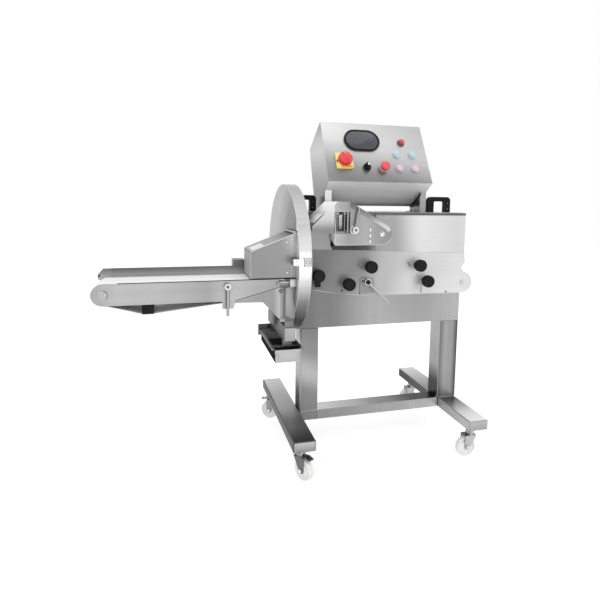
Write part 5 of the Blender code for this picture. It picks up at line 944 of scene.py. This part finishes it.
def presser_workings():
    """Guide rods, lower lip, spring guide plate with painted shade and light, a dark strip in the
    slot under the pan that is painted shade, and screws.
    """
    bm = bmesh.new()
    for x in (0.086, 0.129):
        bar(bm, [(x, -0.2445, 0.842), (x, -0.2445, 0.924)], 0.0018, 10)
    piece("presser_guide_rods", bm, BRIGHT, "frame")
    build("presser_lower_lip", BRIGHT, "polished_steel",
          (slab, (0.0835, -0.245, 0.808), (0.254, -0.2425, 0.8098), 0.0004, 1))
    low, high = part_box("presser_spring_left")
    right_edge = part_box("presser_spring_right")[0].x
    # The guide plate is dark low down and near white high up: painted shade and painted light.
    sheet = steel("guide_plate_sheet", "Z", 150, [
        (FRONT, UP, [(0.85, 60), (0.88, 210), (0.915, 255)])], metallic=0.1)
    build("spring_guide_plate", sheet, "brushed_stainless",
          (slab, (high.x + 0.0008, high.y - 0.001, low.z + 0.002),
           (right_edge - 0.0008, high.y, high.z), 0.0003, 1), body="presser")
    # A dark strip in the slot under the pan, fading out to the right: painted shade.
    shade = steel("slot_shade", "X", 20, [
        (FRONT, RIGHT, [(0.07, 4), (0.15, 6), (0.2, 60), (0.235, 130)])], metallic=0.1)
    build("presser_slot_shadow", shade, "black_plastic",
          (slab, (0.076, -0.2412, 0.783), (0.231, -0.2402, 0.8045), 0.0003, 1))
    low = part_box("presser_lever")[0]
    build("lever_hub_screw", SHADED_STEEL, "polished_steel",
          (lathe, cap(0.005, 0.0012, 0.0038, 0.002, 0.002), (HUB_X, low.y - SEAT, HUB_Z), FRONT, 6),
          body="presser_handle")
    places = [(0.094, ON_PAN, 0.822), (0.1, ON_PAN, 0.936)]
    screws("presser_pan_screws", places, FRONT, 0.0032, 0.0018)


def bare_plates():
    """Two blank plates, one on the hood's slope and one on the presser's."""
    for name, body, slope, mid, lift, size, thickness in (
            ("hood_blank_plate", "hood", (0.149, 0, 0.058), (-0.173, -0.205, 0.800114), 0.0004,
             (0.042, 0.084), 0.0008),
            ("presser_blank_plate", "frame", (0.086, 0, 0.084), (0.03, -0.196, 0.894379), 0.0006,
             (0.044, 0.07), 0.0006)):
        run = Vector(slope).normalized()
        out = Vector((-run.z, 0, run.x))
        at = Vector(mid) + out * lift
        build(name, PALE, "white_nylon",
              (plate, round_box(*size, 0.003), thickness, 0.0002, flat_on(at, out, run)), body=body)


presser_details()
presser_workings()
bare_plates()


# Drum, hood and catch
DRUM_Y, DRUM_Z, DRUM_RADIUS = -0.031, 0.746, 0.2646
COVER_SCREW_RADIUS = 0.235
COVER_SCREW_TURNS = [math.radians(t) for t in (75, 105, 135)]


def drum_details():
    """Bright beads on the drum's two rims, and the screws of its inner cover."""
    bm = bmesh.new()
    for x in (-0.0488, -0.0082):
        ring(bm, DRUM_RADIUS, 0.0008, (x, DRUM_Y, DRUM_Z), RIGHT, 144, 8)
    piece("drum_rim_beads", bm, LIT_STEEL, "frame")
    places = [(-0.007 + SEAT, DRUM_Y + COVER_SCREW_RADIUS * math.cos(a),
               DRUM_Z + COVER_SCREW_RADIUS * math.sin(a)) for a in COVER_SCREW_TURNS]
    screws("drum_cover_screws", places, RIGHT, 0.0042, 0.0024)


def hood_details():
    """Screws, a row of spot welds that the catch interrupts, the folded corner and the end flap."""
    screws("hood_screws", [(-0.08, ON_PAN, 0.8185), (-0.079, ON_PAN, 0.7195)], FRONT, 0.0034, 0.002,
           body="hood", material=BRIGHT)
    bm = bmesh.new()
    low, high, count = 0.708, 0.838, 15
    catch_low, catch_high = 0.742, 0.772
    for i in range(count):
        z = low + (high - low) * i / (count - 1)
        if not catch_low < z < catch_high:
            lathe(bm, [(0.0017, 0), (0.0013, 0.0008), (0, 0.001)], (-0.064, ON_PAN, z), FRONT, 10)
    piece("hood_spot_welds", bm, BRIGHT, "hood")
    x, y = -0.1982, -0.2514
    build("hood_folded_edge", BRIGHT, "polished_steel",
          (bar, [(x, y, 0.704), (x, y, 0.7885)], 0.001, 8),
          (bar, [(x, y, 0.7895), (-0.051, y, 0.8475)], 0.0011, 8), body="hood")
    bm = bmesh.new()
    strips, gap = 3, 0.0004
    front_side, back_side = -0.2495, -0.1075
    width = (back_side - front_side) / strips
    for i in range(strips):
        start = front_side + width * i
        slab(bm, (-0.2004, start + gap, 0.705), (-0.1992, start + width - gap, 0.7868), 0.0003, 1)
    piece("hood_end_flap", bm, FLAP, "hood")


def catch_details():
    """The toggle catch's lever over its strap, with side cheeks, rivets and a wire loop."""
    bm = bmesh.new()
    slab(bm, (-0.0345, -0.2997, 0.7445), (-0.011, -0.299, 0.7705), 0.0003, 1)
    for low_z, high_z in ((0.743, 0.7462), (0.7688, 0.772)):
        slab(bm, (-0.035, -0.2999, low_z), (-0.0105, -0.298, high_z), 0.0004, 1)
    piece("catch_lever", bm, steel("catch_sheet", "X", 168, roughness=0.25), "latch")
    wire = 0.0011
    front = -0.3 + wire
    left, right, low, high = -0.0335, -0.012, 0.745, 0.77
    build("catch_wire", SPRING, "polished_steel",
          (bar,
           [(left, front, low), (left, front, high), (right, front, high), (right, front, low),
            (left, front, low)],
           wire, 8),
          (ring, 0.0058, wire, (-0.0215, front, 0.7575), FRONT, 24, 8), body="latch")
    rivets = [(-0.06, -0.2984, z) for z in (0.7525, 0.7625)]
    screws("catch_rivets", rivets, FRONT, 0.0016, 0.0008, body="latch")


drum_details()
hood_details()
catch_details()


# Outfeed conveyor
TIP_X, TIP_Z = -0.642, 0.665
PLATES_BACK = -0.105


def conveyor_details():
    """Front plate's disc and screws, tension shoe, belt strip, rear guard's end, nut and caps."""
    build("tip_disc", PLAIN_X, "brushed_stainless",
          (lathe,
           [(0.012, 0), (0.012, 0.0006), (0.0112, 0.0011), (0.004, 0.0011), (0.0036, 0.0004),
            (0, 0.0004)],
           (TIP_X, ON_PAN, TIP_Z), FRONT, 36))
    screws("plate_screws", [(-0.5, ON_PAN, 0.639), (-0.61, ON_PAN, 0.69)], FRONT, 0.0022, 0.0012,
           material=PLAIN_X)
    shoe = [(-0.531, 0.6315), (-0.53, 0.6028), (-0.497, 0.6028), (-0.4935, 0.6315)]
    build("belt_tension_shoe", BLACK, "black_plastic",
          (plate, shoe, 0.0022, 0.0006, flat_on((0, -0.25, 0), FRONT)))
    end = [(-0.672, 0.69), (-0.672, 0.708), (-0.656, 0.727), (-0.63, 0.727), (-0.63, 0.69)]
    # The guard's end plate is lighter low down and darker high up: painted shade.
    sheet = steel("guard_end_sheet", "X", 120, [(FRONT, UP, [(0.69, 168), (0.727, 104)])])
    build("guard_end_plate", sheet, "brushed_stainless",
          (plate, end, 0.001, 0.0003, flat_on((0, -0.1082, 0), FRONT)))
    build("belt_edge_strip", RUBBER, "black_plastic",
          (slab, (-0.6, -0.2519, 0.698), (-0.106, -0.25, 0.7004), 0.0003, 1))
    back = PLATES_BACK + SEAT
    screws("rear_plate_screws", [(-0.58, back, 0.65), (-0.42, back, 0.65), (-0.26, back, 0.65),
                                 (-0.14, back, 0.69)], BACK, 0.0032, 0.0018)
    build("tip_shaft_nut", POLISHED, "polished_steel",
          (lathe, cap(0.0105, 0.0012, 0.008, 0.002, 0.002), (TIP_X, back, TIP_Z), BACK, 24),
          body="tip_roller")
    build("tip_scraper_clip", SHADED_STEEL, "brushed_stainless",
          (slab, (-0.6725, -0.112, 0.699), (-0.666, -0.11, 0.708), 0.0004, 1))
    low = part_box("clamp_lever")[0]
    build("clamp_cap", SHADED_STEEL, "polished_steel",
          (lathe, cap(0.0052, 0.0014, 0.004, 0.0024, 0.0026), (-0.273, low.y - SEAT, 0.682), FRONT,
           20), body="clamp")


def pivot_details():
    """The gusset's side plate, and the pivot's plated spacer and its block's cover."""
    side = [(-0.103, 0.556), (-0.062, 0.556), (-0.0515, 0.57), (-0.0515, 0.6715), (-0.074, 0.6715),
            (-0.103, 0.664)]
    # The side plate darkens towards the right: painted shade.
    sheet = steel("gusset_side_sheet", "Z", 110, [
        (FRONT, RIGHT, [(-0.103, 156), (-0.075, 138), (-0.052, 120)])])
    build("gusset_side_plate", sheet, "brushed_stainless",
          (plate, side, 0.001, 0.0003, flat_on((0, -0.251, 0), FRONT)))
    build("pivot_spacer", POLISHED, "polished_steel",
          (lathe, [(0.0058, 0), (0.0062, 0.0006), (0.0062, 0.0304), (0.0058, 0.031), (0, 0.031)],
           (-0.1036, -0.256, 0.6885), RIGHT, 24))
    build("pivot_block_cover", PLAIN_X, "brushed_stainless",
          (slab, (-0.0725, -0.266, 0.6745), (-0.0545, -0.252, 0.699), 0.001, 2))


conveyor_details()
pivot_details()


# Scrap tray
TRAY_PLATE_FRONT = -0.2533


def tray_details():
    """The tray's front plate with two screws, and the bead on its lip."""
    build("tray_front_plate", steel("tray_plate_sheet", "X", 166), "brushed_stainless",
          (slab, (-0.107, TRAY_PLATE_FRONT, 0.4235), (-0.04, -0.2522, 0.454), 0.0004, 1),
          body="tray")
    build("tray_lip_bead", BRIGHT, "polished_steel",
          (bar, [(-0.116, -0.2524, 0.4602), (-0.031, -0.2524, 0.4602)], 0.0012, 8), body="tray")
    places = [(x, TRAY_PLATE_FRONT - SEAT, 0.4388) for x in (-0.103, -0.044)]
    screws("tray_plate_screws", places, FRONT, 0.0022, 0.0012, body="tray")


tray_details()


# Cabinet and lid
CABINET_BACK = 0.234


def cabinet_details():
    """A dark strip under the lid's edge that is painted shade, a seal there, and the screws of
    handles, rear panel and apron.
    """
    # A dark strip under the lid's front edge, where shade falls: painted shade.
    build("lid_edge_shadow_strip", steel("lid_edge_shadow_sheet", "X", 92), "brushed_stainless",
          (slab, (0.23, -0.2412, 0.907), (0.5782, -0.2358, 0.9156), 0.0006, 1))
    build("lid_seal", RUBBER, "black_plastic",
          (slab, (0.576, -0.069, 0.899), (0.6745, -0.0682, 0.91), 0.0002, 1))
    places = []
    for node in ("lid_handle_left", "lid_handle_right"):
        low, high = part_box(node)
        places += [(high.x - 0.012, low.y - SEAT, low.z + z) for z in (0.014, 0.036)]
    screws("handle_screws", places, FRONT, 0.0017, 0.001)
    back = CABINET_BACK + SEAT
    places = [(x, back, z) for x in (0.025, 0.334, 0.645) for z in (0.51, 0.69, 0.865)]
    screws("cabinet_rear_screws", places, BACK, 0.0042, 0.0024)
    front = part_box("cabinet")[0].y - SEAT
    screws("apron_rivets", [(x, front, 0.492) for x in (0.012, 0.656)], FRONT, 0.0022, 0.001)


cabinet_details()


# Stand and casters
BEAM_TOP = 0.157
AXLE_END = 0.0172
TYRE_SIDE = 0.0116


def weld_beads():
    """Short ground welds where the posts meet the foot beams."""
    bm = bmesh.new()
    for low_x, high_x in ((0.0143, 0.0843), (0.597, 0.675)):
        for y in (-0.0682, 0.0092):
            z = BEAM_TOP + 0.0006
            bar(bm, [(low_x + 0.003, y, z), (high_x - 0.003, y, z)], 0.0013, 8)
    piece("weld_beads", bm, PLAIN_X, "frame")


def caster_details(corner):
    """Axle nuts on the fork, and the fine lines round the wheel's tyre."""
    low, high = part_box(f"caster_wheel_{corner}")
    centre = (low + high) / 2
    joints = frame["record"]["behaviour"]["joints"]
    joint = next(j for j in joints if j["child"] == f"wheel_{corner}")
    axle = Vector(joint["axis"]).normalized()
    nuts, lines = bmesh.new(), bmesh.new()
    for side in (-1, 1):
        lathe(nuts, cap_head(0.0072, 0.004), centre + axle * side * AXLE_END, axle * side, 6)
        ring(lines, 0.029, 0.0009, centre + axle * side * TYRE_SIDE, axle, 36, 8)
    piece(f"axle_nuts_{corner}", nuts, BRIGHT, f"caster_{corner}")
    piece(f"tyre_lines_{corner}", lines, NYLON, f"wheel_{corner}")


weld_beads()
for corner in ("front_left", "front_right", "rear_left", "rear_right"):
    caster_details(corner)


# Studio
def seen_by_camera(tree):
    """1 for camera, mirror and through-glass rays, 0 for the light itself."""
    path = tree.nodes.new("ShaderNodeLightPath").outputs
    return maths(tree, "MAXIMUM", path["Is Camera Ray"], path["Is Glossy Ray"],
                 path["Is Transmission Ray"])


FLOOR_HALF = 8
FLOOR_GAP = 0.0005
FLOOR_LIFT = 0.5
WORLD_LIGHT = 0.62


def floor():
    """White paper whose own glow, seen by the camera alone, lifts it to the backdrop's white."""
    material, tree, shader = finish("floor_paper", (0.9, 0.9, 0.9), 0.9)
    feed(shader, Emission_Color=(1, 1, 1, 1),
         Emission_Strength=spread(tree, seen_by_camera(tree), 0, FLOOR_LIFT, 0, 1))
    bm = bmesh.new()
    bmesh.ops.create_grid(bm, x_segments=1, y_segments=1, size=FLOOR_HALF)
    mesh = bpy.data.meshes.new("floor")
    bm.to_mesh(mesh)
    bm.free()
    mesh.materials.append(material)
    obj = show("floor", mesh)
    obj.location = (0, 0, -FLOOR_GAP)


def softbox(name, place_at, look_at, size, power):
    """A square softbox turned to a point of the object."""
    data = bpy.data.lights.new(name, "AREA")
    data.shape = "SQUARE"
    data.size = size
    data.energy = power
    obj = show(name, data)
    obj.location = place_at
    obj.rotation_euler = (Vector(look_at) - Vector(place_at)).to_track_quat("-Z", "Y").to_euler()


def world():
    """A white surround, seen at full strength and lighting the object more softly."""
    scene_world = bpy.data.worlds.new("studio")
    bpy.context.scene.world = scene_world
    scene_world.use_nodes = True
    tree = scene_world.node_tree
    feed(tree.nodes["Background"], Color=(1, 1, 1, 1),
         Strength=spread(tree, seen_by_camera(tree), WORLD_LIGHT, 1, 0, 1))


floor()
world()
softbox("key_softbox", (-1.8, -2.2, 2.6), (0, 0, 0.7), 3.4, 30)
softbox("low_softbox", (0.3, -2.3, 0.3), (0.3, 0, 0.9), 1.6, 9)
softbox("fill_softbox", (2.4, -1.6, 1.8), (0.2, 0, 0.7), 2.6, 12)
softbox("top_softbox", (0.2, 0.2, 3.2), (0.1, 0, 0.5), 3.0, 20)

# Camera: fitted to the photograph
CAMERA_AT = Vector((-0.4254, -1.8111, 0.958))
YAW = math.radians(15.349)
PITCH = math.radians(6.398)
ROLL = math.radians(0.76)
FOCAL_PIXELS = 494.37
CENTRE_X, CENTRE_Y = 311.61, 254.75
IMAGE_SIDE = 600
SENSOR = 36.0


def camera():
    """The camera with the photograph's view, its framing kept by a small shift."""
    forward = Vector((math.sin(YAW) * math.cos(PITCH), math.cos(YAW) * math.cos(PITCH),
                      -math.sin(PITCH)))
    level_right = Vector((math.cos(YAW), -math.sin(YAW), 0))
    level_up = level_right.cross(forward)
    right = level_right * math.cos(ROLL) + level_up * math.sin(ROLL)
    up = level_up * math.cos(ROLL) - level_right * math.sin(ROLL)
    data = bpy.data.cameras.new("photo_camera")
    data.sensor_width = SENSOR
    data.lens = SENSOR * FOCAL_PIXELS / IMAGE_SIDE
    data.shift_x = (IMAGE_SIDE / 2 - CENTRE_X) / IMAGE_SIDE
    data.shift_y = (CENTRE_Y - IMAGE_SIDE / 2) / IMAGE_SIDE
    data.clip_start = 0.05
    data.clip_end = 60
    obj = show("photo_camera", data)
    turn = Matrix((right, up, -forward)).transposed().to_4x4()
    obj.matrix_world = Matrix.Translation(CAMERA_AT) @ turn
    bpy.context.scene.camera = obj


camera()
bpy.context.scene.view_settings.view_transform = "Standard"
